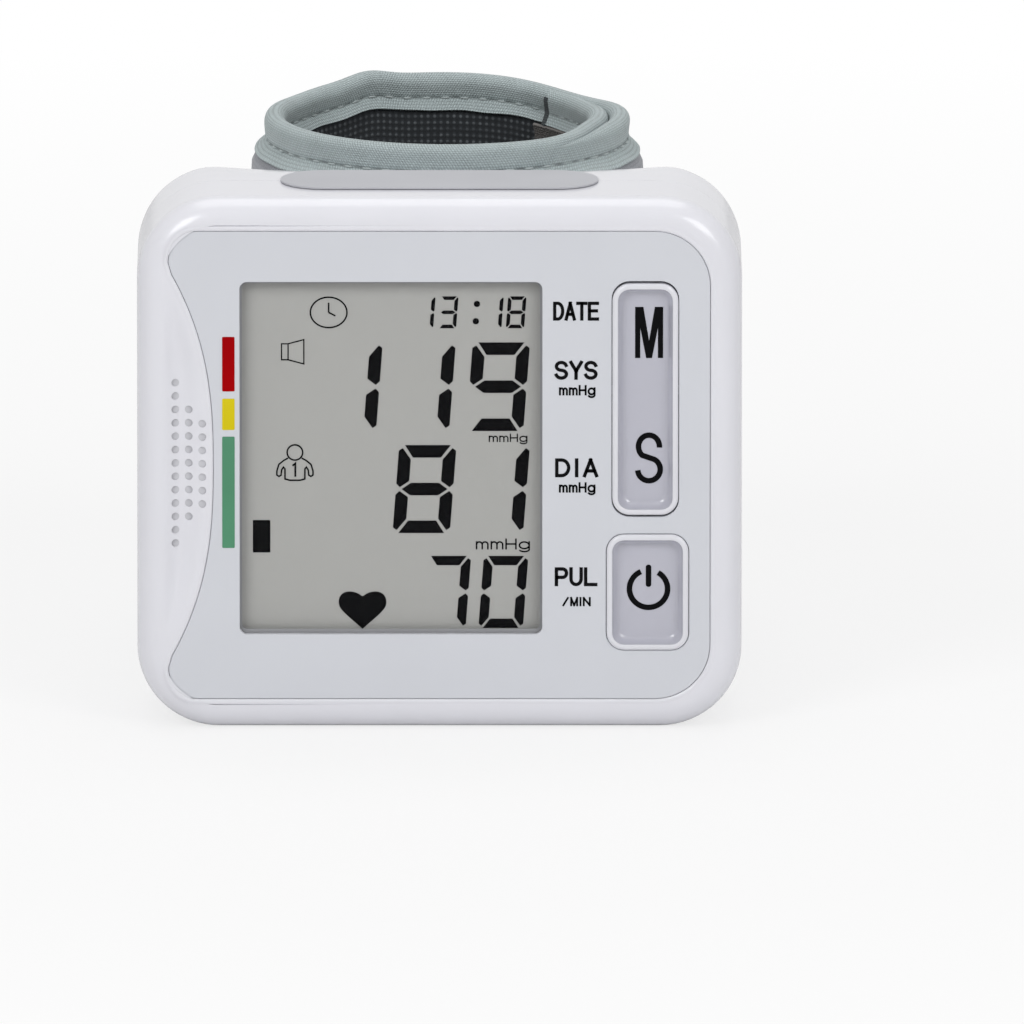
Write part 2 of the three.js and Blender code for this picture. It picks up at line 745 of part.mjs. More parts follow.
// A hose along a path, open from end to end
function hose(path, steps) {
  const section = new THREE.Shape().absarc(0, 0, hoseRadius, 0, Math.PI * 2);
  section.holes.push(new THREE.Path().absarc(0, 0, hoseBore, 0, Math.PI * 2));
  const options = { steps, extrudePath: path, bevelEnabled: false, curveSegments: hoseSides };
  return solidOf(new THREE.ExtrudeGeometry(section, options));
}

function straightHose(from, to) {
  return hose(new THREE.LineCurve3(new THREE.Vector3(...from), new THREE.Vector3(...to)), 1);
}

const teeHalf = teeSize / 2 + seat;
const pumpHosePath = new THREE.CatmullRomCurve3([
  new THREE.Vector3(pumpX, headTop + seat, airZ),
  new THREE.Vector3(pumpX, headTop + nippleLength + seat, airZ),
  new THREE.Vector3(pumpX + nippleLength / 2, teeY - nippleLength / 4, airZ),
  new THREE.Vector3(teeX - teeHalf - nippleLength / 2 - seat, teeY, airZ),
  new THREE.Vector3(teeX - teeHalf, teeY, airZ),
]);
const sensorHoseEnd = boardBack - seat - sensorHeight - seat;

addPiece(housing, 'pressure_sensor', pressureSensor(), 'dark');
addPiece(housing, 'pump_motor', pumpMotor(), 'steel');
addPiece(housing, 'pump_crank', pumpCrank(), 'steel');
addPiece(housing, 'pump_head', pumpHead(), 'dark');
addPiece(housing, 'valve_body', valveBody(), 'steel');
addPiece(housing, 'valve_plunger', valvePlunger(), 'brass');
addPiece(housing, 'air_tee', airTee(), 'shell');
addPiece(housing, 'pump_hose', hose(pumpHosePath, hoseSteps), 'rubber');
const valveHose = straightHose([teeX, valveTop + seat, airZ], [teeX, teeY - teeHalf, airZ]);
addPiece(housing, 'valve_hose', valveHose, 'rubber');
const sensorHose = straightHose([teeX, teeY, airZ + teeHalf], [teeX, teeY, sensorHoseEnd]);
addPiece(housing, 'sensor_hose', sensorHose, 'rubber');

// Cells and their contacts
function addCell(name, x, direction) {
  const low = middle - direction * cellLength / 2;
  const shoulder = middle + direction * (cellLength / 2 - capHeight);
  const cell = bar([x, low, cellZ], [x, shoulder, cellZ], cellRadius);
  const end = middle + direction * cellLength / 2;
  const cap = bar([x, shoulder - direction * capHeight, cellZ], [x, end, cellZ], capRadius);
  addPiece(housing, name, cell.add(cap), 'cell');
}

addCell('battery_cell_1', cellInnerX, 1);
addCell('battery_cell_2', cellOuterX, -1);

const contactFace = bayHalf - seat - contactThickness;

function contactPlate(lowX, highX, direction) {
  const ends = [middle + direction * contactFace, middle + direction * (contactFace + contactThickness)];
  ends.sort((a, b) => a - b);
  const half = contactWidth / 2;
  return block([lowX, ends[0], cellZ - half], [highX, ends[1], cellZ + half]);
}

// A flat contact has a boss that reaches out to the cell's cap
function flatContact(lowX, highX, x, direction) {
  const from = [x, middle + direction * (cellLength / 2 + seat), cellZ];
  const to = [x, middle + direction * (contactFace + contactThickness / 2), cellZ];
  return contactPlate(lowX, highX, direction).add(bar(from, to, capRadius, smallSides));
}

const contactHalf = contactWidth / 2;
const linkPlate = flatContact(cellInnerX - contactHalf, cellOuterX + contactHalf, cellInnerX, 1);
addPiece(housing, 'contact_link', linkPlate, 'steel');
const plusPlate = flatContact(cellOuterX - contactHalf, cellOuterX + contactHalf, cellOuterX, -1);
addPiece(housing, 'contact_tab_plus', plusPlate, 'steel');
const minusPlate = contactPlate(cellInnerX - contactHalf, cellInnerX + contactHalf, -1);
addPiece(housing, 'contact_tab_minus', minusPlate, 'steel');

// A conical contact spring between a plate and the flat end of a cell
class SpringPath extends THREE.Curve {
  constructor(x, start, end) {
    super();
    Object.assign(this, { x, start, end });
  }

  getPoint(t) {
    const angle = t * springTurns * Math.PI * 2;
    const radius = springBase + (springTop - springBase) * t;
    const y = this.start + (this.end - this.start) * t;
    return new THREE.Vector3(this.x + radius * Math.cos(angle), y, cellZ + radius * Math.sin(angle));
  }
}

function contactSpring(x, direction) {
  const room = seat + springWire;
  const start = middle + direction * (contactFace - room);
  const end = middle + direction * (cellLength / 2 + room);
  const wire = new THREE.Shape().absarc(0, 0, springWire, 0, Math.PI * 2);
  const options = { steps: springTurns * springSteps, bevelEnabled: false, curveSegments: springSides };
  options.extrudePath = new SpringPath(x, start, end);
  return solidOf(new THREE.ExtrudeGeometry(wire, options));
}

addPiece(housing, 'contact_spring_1', contactSpring(cellInnerX, -1), 'steel');
addPiece(housing, 'contact_spring_2', contactSpring(cellOuterX, 1), 'steel');
const coverLow = [bayLeft, middle - bayHalf + seat, bayTop + seat];
const coverHigh = [side - wall - seat, middle + bayHalf - seat, bayTop + seat + bayWall];
addPiece(housing, 'bay_cover', block(coverLow, coverHigh), 'shell');

// A cross-head screw along z: the head's outer face at z, the shank towards the given direction
function screw(x, y, z, direction, shankLength) {
  const neck = z + direction * screwHeadHeight;
  const tip = [x, y, neck + direction * shankLength];
  const head = bar([x, y, z], [x, y, neck], screwHeadRadius);
  const body = head.add(bar([x, y, z + direction * screwCrossDepth], tip, screwShankRadius, smallSides));
  const [arm, half, depth] = [screwCrossArm, screwCrossHalf, screwCrossDepth];
  const across = block([x - arm, y - half, z - depth], [x + arm, y + half, z + depth]);
  const upright = block([x - half, y - arm, z - depth], [x + half, y + arm, z + depth]);
  return body.subtract(across).subtract(upright);
}

screwPlaces.forEach(([x, y], i) => {
  const headFace = back + screwHeadDepth - seat - screwHeadHeight;
  addPiece(housing, `case_screw_${i + 1}`, screw(x, y, headFace, 1, screwShankLength), 'steel');
});

// Sticker on the housing's top face
const stickerOutline = roundedRectangle(0, 0, stickerLength, stickerWidth, stickerCorner);
const sticker = new THREE.ExtrudeGeometry(stickerOutline, {
  depth: stickerThickness,
  bevelEnabled: false,
  curveSegments: cornerSteps,
});
const stickerGroup = new THREE.Group();
stickerGroup.position.set(0, stickerFromFront + stickerWidth / 2 - front, housingHeight + stickerLift);
addPiece(stickerGroup, 'top_label', solidOf(sticker), 'sticker');
monitor.add(stickerGroup);

// Cuff, in world axes: the loop's axis is vertical and its front lies behind the housing
const bindingInside = coverOuter + seat;
const bindingOutside = bindingInside + bindingThickness;
const loopFront = front + seat + plateThickness + seat + coverOuter + coverCrown;
const loopCentreY = loopFront + loopHalfDepth;
const overlap = 2 * bindingOutside + seat;

// How far the band lies inside the loop at an angle: the tab's end runs inside the strap
function tabInset(angle) {
  return overlap * THREE.MathUtils.smoothstep(angle, tabEaseStart, tabEaseEnd);
}

// The padding swells everywhere but on the tab, which lies flat under the strap
function tabCrown(angle) {
  return 1 - THREE.MathUtils.smoothstep(angle, tabEaseStart, tabEaseEnd);
}

const noInset = () => 0;
const fullCrown = () => 1;
const noCrown = () => 0;

// A point on the cuff: an angle round the loop, an offset outwards and a height
function cuffPoint(angle, offset, height) {
  const turn = THREE.MathUtils.degToRad(angle);
  const x = loopCentreX + (loopHalfWidth + offset) * Math.cos(turn);
  const y = loopCentreY + (loopHalfDepth + offset) * Math.sin(turn);
  return [x, y, height];
}

// Sweep a section, listed anticlockwise as offset, height and crown, round the loop between two angles
function sweepBand(section, fromAngle, toAngle, insetAt, crownAt) {
  const count = Math.max(2, Math.round(Math.abs(toAngle - fromAngle) / bandStep));
  const size = section.length;
  const positions = [];
  const faces = [];
  for (let i = 0; i <= count; i += 1) {
    const angle = fromAngle + (toAngle - fromAngle) * i / count;
    for (const [offset, height, crown = 0] of section) {
      positions.push(...cuffPoint(angle, offset + crown * crownAt(angle) - insetAt(angle), height));
    }
    for (let j = 0; i < count && j < size; j += 1) {
      const [a, b] = [i * size + j, i * size + (j + 1) % size];
      faces.push(a, b, b + size, a, b + size, a + size);
    }
  }
  for (const [start, angle, outward] of [[0, fromAngle, false], [count * size, toAngle, true]]) {
    const outline = section.map(([x, y, crown = 0]) => new THREE.Vector2(x + crown * crownAt(angle), y));
    for (const [a, b, c] of THREE.ShapeUtils.triangulateShape(outline, [])) {
      faces.push(start + (outward ? a : c), start + b, start + (outward ? c : a));
    }
  }
  if (toAngle > fromAngle) {
    for (let i = 0; i < faces.length; i += 3) [faces[i], faces[i + 2]] = [faces[i + 2], faces[i]];
  }
  const geometry = new THREE.BufferGeometry();
  geometry.setAttribute('position', new THREE.Float32BufferAttribute(positions, 3));
  geometry.setIndex(faces);
  return solidOf(geometry);
}

// A padded layer: flat inside the binding, and crowned between the tapes on its outer side
const crownLevels = [0, 0.15, 0.35, 0.65, 0.85, 1];

function layerSection(flatSide, crownedSide, crown) {
  const edge = bindingThickness + seat;
  const hem = bindingWidth + seat;
  const direction = Math.sign(crownedSide);
  const crowned = crownLevels.map((level) => {
    const rise = direction * crown * Math.sqrt(Math.max(Math.sin(Math.PI * level), 0));
    return [crownedSide, hem + level * (cuffHeight - 2 * hem), rise];
  });
  const top = cuffHeight - edge;
  const outline = [[crownedSide, edge], ...crowned, [crownedSide, top], [flatSide, top], [flatSide, edge]];
  return direction > 0 ? outline : outline.reverse();
}

// Binding tape folded over an edge of the cuff
function bindingSection(edgeHeight, direction) {
  const under = edgeHeight - direction * bindingThickness;
  const legs = edgeHeight - direction * bindingWidth;
  const outline = [
    [bindingOutside, legs], [bindingOutside, edgeHeight],
    [-bindingOutside, edgeHeight], [-bindingOutside, legs],
    [-bindingInside, legs], [-bindingInside, under],
    [bindingInside, under], [bindingInside, legs],
  ];
  return direction > 0 ? outline : outline.reverse();
}

// A plain strip between two offsets and two heights
function stripSection(inner, outer, low, high) {
  return [[outer, low], [outer, high], [inner, high], [inner, low]];
}

const fixedStart = hingeAngle + hingeGapAngle;
const strapStart = hingeAngle - hingeGapAngle;
const coverSection = layerSection(coverInner, coverOuter, coverCrown);
const linerSection = layerSection(-linerInner, -linerOuter, linerCrown);
const bladderSection = stripSection(-bladderInner, bladderOuter, bladderInset, cuffHeight - bladderInset);

// The hose and the plate's screws pass through the front of the cuff's cover
const hoseEnd = cuffPoint(270, bladderOuter + seat, teeY)[1];

function cuffCover() {
  const band = sweepBand(coverSection, fixedStart, tabEndAngle, tabInset, tabCrown);
  const past = loopCentreY - loopHalfDepth / 2;
  return band.subtract(bar([teeX, front, teeY], [teeX, past, teeY], hoseRadius + seat));
}

// The plate behind the housing reaches past the hose on both sides of the loop's centre
function cuffPlate() {
  const plateWidth = 2 * (loopCentreX - teeX + hoseRadius + plateEdge);
  const outline = roundedRectangle(loopCentreX, middle, plateWidth, plateHeight, panelCorner);
  let base = plate(outline, back - seat - plateThickness, back - seat);
  const under = back - seat - plateThickness - cut;
  base = base.subtract(bar([teeX, teeY, under], [teeX, teeY, back], hoseRadius + seat));
  for (const direction of [-1, 1]) {
    const y = middle + direction * plateScrewSpread;
    const tip = [loopCentreX, y, back - plateThickness];
    base = base.subtract(bar(tip, [loopCentreX, y, back + cut], screwShankRadius + seat, smallSides));
  }
  return base;
}

addPiece(housing, 'cuff_plate', cuffPlate(), 'shell');
[-1, 1].forEach((direction, i) => {
  const y = middle + direction * plateScrewSpread;
  const headFace = rearInside + seat + screwHeadHeight;
  addPiece(housing, `plate_screw_${i + 1}`, screw(loopCentreX, y, headFace, -1, plateScrewLength), 'steel');
});
addPiece(housing, 'cuff_hose', straightHose([teeX, teeY, airZ - teeHalf], [teeX, teeY, -hoseEnd]), 'rubber');
addPiece(cuff, 'cuff_cover', cuffCover(), 'cover');
const bladder = sweepBand(bladderSection, bladderStartAngle, bladderEndAngle, tabInset, noCrown);
addPiece(cuff, 'air_bladder', bladder, 'rubber');

// Add one layer of the cuff that stays on the housing, and one of the strap that swings
function addFixedLayer(name, section, finish) {
  addPiece(cuff, name, sweepBand(section, fixedStart, tabEndAngle, tabInset, tabCrown), finish);
}

function addStrapLayer(name, section, crownAt, finish) {
  addPiece(cuff, name, sweepBand(section, strapStart, strapEndAngle, noInset, crownAt), finish);
}

addFixedLayer('cuff_liner', linerSection, 'liner');
addStrapLayer('strap_cover', coverSection, fullCrown, 'cover');
addStrapLayer('strap_liner', linerSection, noCrown, 'liner');
for (const [edge, height, direction] of [['top', cuffHeight, 1], ['bottom', 0, -1]]) {
  const section = bindingSection(height, direction);
  addFixedLayer(`cuff_binding_${edge}`, section, 'binding');
  addStrapLayer(`strap_binding_${edge}`, section, noCrown, 'binding');
}

// Hook patch on the inside of the strap, over the tab
const patchOuter = -(linerOuter + seat);
const patchLow = middle - patchHeight / 2;
const patchSection = stripSection(patchOuter - patchThickness, patchOuter, patchLow, patchLow + patchHeight);
const patch = sweepBand(patchSection, patchStartAngle, patchEndAngle, noInset, noCrown);
addPiece(cuff, 'hook_patch', patch, 'liner');

export default monitor;
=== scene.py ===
"""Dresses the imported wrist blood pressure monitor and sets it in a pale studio.

Lengths are written in millimetres and turned into metres where a mesh is made. The display faces -Y.
"""

import logging
import math
from dataclasses import dataclass
from enum import Enum
from functools import partial, reduce
from typing import Any, Callable, Sequence

import bmesh
import bpy
from mathutils import Matrix, Vector, noise
from mathutils.geometry import interpolate_bezier


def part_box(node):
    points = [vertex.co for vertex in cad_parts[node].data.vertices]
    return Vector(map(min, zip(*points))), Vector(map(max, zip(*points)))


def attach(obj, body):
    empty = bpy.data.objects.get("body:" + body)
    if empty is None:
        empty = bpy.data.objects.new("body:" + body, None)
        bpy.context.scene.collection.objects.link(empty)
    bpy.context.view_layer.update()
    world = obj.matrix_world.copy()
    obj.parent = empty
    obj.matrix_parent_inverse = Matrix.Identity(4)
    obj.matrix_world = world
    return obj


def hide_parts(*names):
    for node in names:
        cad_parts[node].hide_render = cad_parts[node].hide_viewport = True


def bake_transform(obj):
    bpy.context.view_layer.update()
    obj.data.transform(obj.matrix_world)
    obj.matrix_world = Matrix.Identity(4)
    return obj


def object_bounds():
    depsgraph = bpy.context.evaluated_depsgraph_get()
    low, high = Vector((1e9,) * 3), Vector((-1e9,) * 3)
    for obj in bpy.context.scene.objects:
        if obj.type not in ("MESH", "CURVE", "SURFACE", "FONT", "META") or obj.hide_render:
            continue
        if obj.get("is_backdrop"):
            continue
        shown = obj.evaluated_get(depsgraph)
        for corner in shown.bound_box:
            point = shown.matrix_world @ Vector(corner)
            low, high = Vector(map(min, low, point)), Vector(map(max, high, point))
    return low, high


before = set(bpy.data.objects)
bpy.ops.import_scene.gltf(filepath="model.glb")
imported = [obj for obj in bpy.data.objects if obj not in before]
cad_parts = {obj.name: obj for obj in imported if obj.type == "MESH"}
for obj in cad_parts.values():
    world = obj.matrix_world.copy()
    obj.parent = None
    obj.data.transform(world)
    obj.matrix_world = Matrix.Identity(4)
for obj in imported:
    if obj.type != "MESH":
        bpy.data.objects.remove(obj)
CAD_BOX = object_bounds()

log = logging.getLogger("monitor")
MM = 0.001
Colour = tuple[int, int, int]
Ring = list[bmesh.types.BMVert]
Inputs = dict[str | int, object]


def linear(colour: Colour, alpha: float = 1.0) -> tuple[float, float, float, float]:
    """Turns a screen colour into the linear values that shaders take.

    Args:
        colour: red, green and blue from 0 to 255.
        alpha: the fourth value.

    Returns:
        Linear red, green, blue and alpha.
    """
    def channel(value: float) -> float:
        """One channel, out of 1."""
        return value / 12.92 if value <= 0.04045 else ((value + 0.055) / 1.055) ** 2.4

    red, green, blue = (channel(value / 255) for value in colour)
    return red, green, blue, alpha


def smooth_step(low: float, high: float, value: float) -> float:
    """Eases from 0 at low to 1 at high."""
    share = min(max((value - low) / (high - low), 0.0), 1.0)
    return share * share * (3 - 2 * share)


class Wiring:
    """Adds and links the nodes of one shader tree."""

    def __init__(self, tree: bpy.types.NodeTree) -> None:
        """Keeps the tree that the nodes go into."""
        self.tree = tree

    def feed(self, node: bpy.types.Node, inputs: Inputs) -> None:
        """Links sockets into a node, or sets the values of its inputs.

        Args:
            node: the node to feed.
            inputs: sockets or values by input name or number.
        """
        for name, value in inputs.items():
            if isinstance(value, bpy.types.NodeSocket):
                self.tree.links.new(value, node.inputs[name])
            else:
                node.inputs[name].default_value = value

    def node(self, kind: str, inputs: Inputs | None = None, **settings: object) -> bpy.types.Node:
        """Adds a node.

        Args:
            kind: the node's type without its ShaderNode prefix, or a full group type.
            inputs: sockets or values by input name or number.
            settings: the node's own attributes.

        Returns:
            The new node.
        """
        made = self.tree.nodes.new(kind if kind.startswith("Node") else f"ShaderNode{kind}")
        for name, value in settings.items():
            setattr(made, name, value)
        self.feed(made, inputs or {})
        return made

    def math(self, operation: str, *values: object) -> bpy.types.NodeSocket:
        """Adds a Math node and gives its result."""
        return self.node("Math", dict(enumerate(values)), operation=operation).outputs[0]

    def mix(self, share: object, low: object, high: object) -> bpy.types.NodeSocket:
        """Mixes two colours by a share from 0 to 1."""
        return self.node("Mix", {0: share, 6: low, 7: high}, data_type="RGBA").outputs[2]

    def spread(self, value: object, low: float, high: float, to_low: float,
               to_high: float) -> bpy.types.NodeSocket:
        """Maps a value from one range to another and holds it there."""
        return self.node("MapRange", {0: value, 1: low, 2: high, 3: to_low, 4: to_high}).outputs[0]

    def noise(self, vector: object, scale: object, detail: float = 2.0) -> bpy.types.NodeSocket:
        """Adds a noise texture and gives its value."""
        return self.node("TexNoise", {"Vector": vector, "Scale": scale, "Detail": detail}).outputs[0]

    def bump(self, height: object, strength: float, depth: float) -> bpy.types.NodeSocket:
        """Turns a height into a normal; the depth is in millimetres."""
        relief = {"Height": height, "Strength": strength, "Distance": depth * MM}
        return self.node("Bump", relief).outputs[0]

    def split(self, vector: bpy.types.NodeSocket) -> Sequence[bpy.types.NodeSocket]:
        """The three parts of a vector."""
        return self.node("SeparateXYZ", {0: vector}).outputs

    def show(self, share: object, first: bpy.types.Node, second: bpy.types.Node) -> None:
        """Shows a mix of two shaders as the material's surface."""
        mixed = self.node("MixShader", {0: share, 1: first.outputs[0], 2: second.outputs[0]})
        self.feed(self.tree.nodes["Material Output"], {"Surface": mixed.outputs[0]})


class Effect(Enum):
    """The shader groups that several finishes share."""

    GRAIN = "moulded_grain"
    WEAVE = "thread_weave"
    HANDLING = "handling_marks"

    def start(self, vector: str, values: Sequence[str],
              outputs: Sequence[str]) -> tuple[Wiring, Any, bpy.types.Node]:
        """Opens an empty group.

        Args:
            vector: name of the input that takes coordinates.
            values: names of the plain inputs.
            outputs: names of the values that come out.

        Returns:
            The wiring, the sockets inside by input name, and the node that takes the results.
        """
        tree = bpy.data.node_groups.new(self.value, "ShaderNodeTree")
        tree.interface.new_socket(name=vector, in_out="INPUT", socket_type="NodeSocketVector")
        for way, names in (("INPUT", values), ("OUTPUT", outputs)):
            for name in names:
                tree.interface.new_socket(name=name, in_out=way, socket_type="NodeSocketFloat")
        pen = Wiring(tree)
        return pen, pen.node("NodeGroupInput").outputs, pen.node("NodeGroupOutput")

    def tree(self) -> bpy.types.NodeTree:
        """Gives the group, built the first time it is asked for."""
        builders = {Effect.GRAIN: build_grain, Effect.WEAVE: build_weave, Effect.HANDLING: build_handling}
        return bpy.data.node_groups.get(self.value) or builders[self]()

    def add(self, pen: Wiring, **inputs: object) -> Any:
        """Places the group in a shader with its own values and gives its outputs."""
        return pen.node("Group", inputs, node_tree=self.tree()).outputs


def build_grain() -> bpy.types.NodeTree:
    """Builds the fine texture of a moulding: a small grain and a slow mottle.

    Returns:
        The group's tree.
    """
    pen, given, out = Effect.GRAIN.start("Vector", ["Scale"], ["Height", "Mottle"])
    slow = pen.math("MULTIPLY", given["Scale"], 0.03)
    fine = pen.noise(given["Vector"], given["Scale"], 3.0)
    pen.feed(out, {"Height": fine, "Mottle": pen.noise(given["Vector"], slow)})
    return pen.tree


def build_weave() -> bpy.types.NodeTree:
    """Builds a weave on a UV map in millimetres: threads that may lean pass over each other by turns.

    Returns:
        The group's tree.
    """
    pen, given, out = Effect.WEAVE.start("UV", ["Along", "Across", "Lean"], ["Height", "Slub"])
    split = pen.split(given["UV"])
    across = pen.math("DIVIDE", split[1], given["Across"])
    straight = pen.math("DIVIDE", split[0], given["Along"])
    along = pen.math("ADD", straight, pen.math("MULTIPLY", across, given["Lean"]))
    waves = [pen.math("SINE", pen.math("MULTIPLY", value, math.pi)) for value in (along, across)]
    warp, weft = (pen.math("ABSOLUTE", wave) for wave in waves)
    cell = pen.math("ADD", pen.math("FLOOR", along), pen.math("FLOOR", across))
    over = pen.math("MODULO", pen.math("ABSOLUTE", cell), 2.0)
    top = pen.math("MULTIPLY", pen.math("POWER", warp, 0.5), pen.spread(weft, 0, 1, 0.55, 1))
    under = pen.math("MULTIPLY", pen.math("POWER", weft, 0.5), pen.spread(warp, 0, 1, 0.3, 0.8))
    swap = pen.math("MULTIPLY", over, pen.math("SUBTRACT", under, top))
    slub = pen.noise(given["UV"], 0.45, 4.0)
    pen.feed(out, {"Height": pen.math("ADD", top, swap), "Slub": slub})
    return pen.tree


def build_handling() -> bpy.types.NodeTree:
    """Builds slow uneven patches, as hands and light leave on a used surface.

    Returns:
        The group's tree.
    """
    pen, given, out = Effect.HANDLING.start("Vector", ["Scale"], ["Patches"])
    patches = pen.noise(given["Vector"], given["Scale"], 5.0)
    pen.feed(out, {"Patches": pen.spread(patches, 0.35, 0.7, 0, 1)})
    return pen.tree


@dataclass(frozen=True)
class Finish:
    """A finish: its name and main colour. Each kind wires its own shader."""

    name: str
    colour: Colour

    def material(self) -> bpy.types.Material:
        """Gives the material, built the first time it is asked for.

        Returns:
            The finish's material.
        """
        found = bpy.data.materials.get(self.name)
        if found:
            return found
        made = bpy.data.materials.new(self.name)
        made.use_nodes = True
        self.wire(Wiring(made.node_tree), made.node_tree.nodes["Principled BSDF"])
        made.diffuse_color = linear(self.colour)
        return made

    def wire(self, pen: Wiring, surface: bpy.types.Node) -> None:
        """Feeds the surface's inputs with nodes that the pen adds; each kind of finish has its own."""
        raise NotImplementedError

    def shade(self, factor: float) -> tuple[float, float, float, float]:
        """The finish's colour, lighter or darker by a factor."""
        red, green, blue, alpha = linear(self.colour)
        return red * factor, green * factor, blue * factor, alpha

    @staticmethod
    def place(pen: Wiring) -> bpy.types.NodeSocket:
        """Object coordinates, in metres."""
        return pen.node("TexCoord").outputs["Object"]

    @staticmethod
    def cloth_map(pen: Wiring) -> bpy.types.NodeSocket:
        """The piece's own UV map, in millimetres of cloth."""
        return pen.node("UVMap", uv_map="UVMap").outputs[0]


@dataclass(frozen=True)
class Moulded(Finish):
    """Moulded plastic with a fine grain, slow mottle and handling marks."""

    roughness: float = 0.3
    coat: float = 0.0
    grain: float = 0.05
    grain_scale: float = 2500.0
    subsurface: float = 0.0
    marks: float = 0.03
    gloss: float = 0.5

    def wire(self, pen: Wiring, surface: bpy.types.Node) -> None:
        """Wires grain into the normal and marks into colour and roughness.

        Args:
            pen: adds the nodes.
            surface: the shader to feed.
        """
        place = self.place(pen)
        grain = Effect.GRAIN.add(pen, Vector=place, Scale=self.grain_scale)
        hands = Effect.HANDLING.add(pen, Vector=place, Scale=45.0)
        tint = pen.spread(grain["Mottle"], 0.3, 0.7, 0, 1)
        pen.feed(surface, {
            "Base Color": pen.mix(tint, self.shade(1 - self.marks), self.shade(1 + self.marks)),
            "Roughness": pen.spread(hands["Patches"], 0, 1, self.roughness * 0.94, self.roughness * 1.1),
            "Normal": pen.bump(grain["Height"], self.grain, 0.05),
            "Specular IOR Level": self.gloss,
            "Coat Weight": self.coat,
            "Coat Roughness": 0.12,
            "Subsurface Weight": self.subsurface,
            "Subsurface Radius": (1.0, 0.95, 0.9),
            "Subsurface Scale": MM,
        })


@dataclass(frozen=True)
class Ink(Finish):
    """Screen-printed ink: nearly flat, with a slight unevenness of coverage."""

    roughness: float = 0.55
    gloss: float = 0.12

    def wire(self, pen: Wiring, surface: bpy.types.Node) -> None:
        """Wires an uneven coverage into the colour and the normal.

        Args:
            pen: adds the nodes.
            surface: the shader to feed.
        """
        grain = Effect.GRAIN.add(pen, Vector=self.place(pen), Scale=6000.0)
        pen.feed(surface, {
            "Base Color": pen.mix(grain["Mottle"], self.shade(0.9), self.shade(1.12)),
            "Roughness": pen.spread(grain["Height"], 0, 1, self.roughness - 0.1, self.roughness + 0.1),
            "Normal": pen.bump(grain["Height"], 0.04, 0.02),
            "Specular IOR Level": self.gloss,
        })


@dataclass(frozen=True)
class DisplayFace(Finish):
    """The grey reflector behind the display's segments."""

    def wire(self, pen: Wiring, surface: bpy.types.Node) -> None:
        """Wires a faint sparkle and a slow tint.

        Args:
            pen: adds the nodes.
            surface: the shader to feed.
        """
        place = self.place(pen)
        grain = Effect.GRAIN.add(pen, Vector=place, Scale=9000.0)
        hands = Effect.HANDLING.add(pen, Vector=place, Scale=25.0)
        fine = pen.mix(grain["Height"], self.shade(0.96), self.shade(1.04))
        pen.feed(surface, {
            "Base Color": pen.mix(hands["Patches"], fine, self.shade(1.0)),
            "Roughness": pen.spread(grain["Height"], 0, 1, 0.45, 0.65),
            "Normal": pen.bump(grain["Height"], 0.03, 0.02),
        })


@dataclass(frozen=True)
class ClearSheet(Finish):
    """A clear window that lets the light through to what lies behind it."""

    def wire(self, pen: Wiring, surface: bpy.types.Node) -> None:
        """Wires clear plastic, which passes shadow rays straight through.

        Args:
            pen: adds the nodes.
            surface: the shader to feed.
        """
        grain = Effect.GRAIN.add(pen, Vector=self.place(pen), Scale=60.0)
        pen.feed(surface, {
            "Base Color": pen.mix(grain["Mottle"], self.shade(0.985), self.shade(1.0)),
            "Roughness": pen.spread(grain["Height"], 0, 1, 0.02, 0.06),
            "IOR": 1.1,
            "Transmission Weight": 1.0,
        })
        rays = pen.node("LightPath").outputs
        through = pen.math("MAXIMUM", rays["Is Shadow Ray"], rays["Is Diffuse Ray"])
        pen.show(through, surface, pen.node("BsdfTransparent"))


@dataclass(frozen=True)
class Metal(Finish):
    """Plain metal with fine turning marks."""

    roughness: float = 0.3

    def wire(self, pen: Wiring, surface: bpy.types.Node) -> None:
        """Wires marks stretched along one way into roughness and normal.

        Args:
            pen: adds the nodes.
            surface: the shader to feed.
        """
        turned = pen.node("Mapping", {"Vector": self.place(pen), "Scale": (1.0, 1.0, 14.0)}).outputs[0]
        grain = Effect.GRAIN.add(pen, Vector=turned, Scale=900.0)
        pen.feed(surface, {
            "Base Color": pen.mix(grain["Mottle"], self.shade(0.85), self.shade(1.05)),
            "Roughness": pen.spread(grain["Height"], 0, 1, self.roughness, self.roughness + 0.2),
            "Normal": pen.bump(grain["Height"], 0.08, 0.03),
            "Metallic": 1.0,
        })


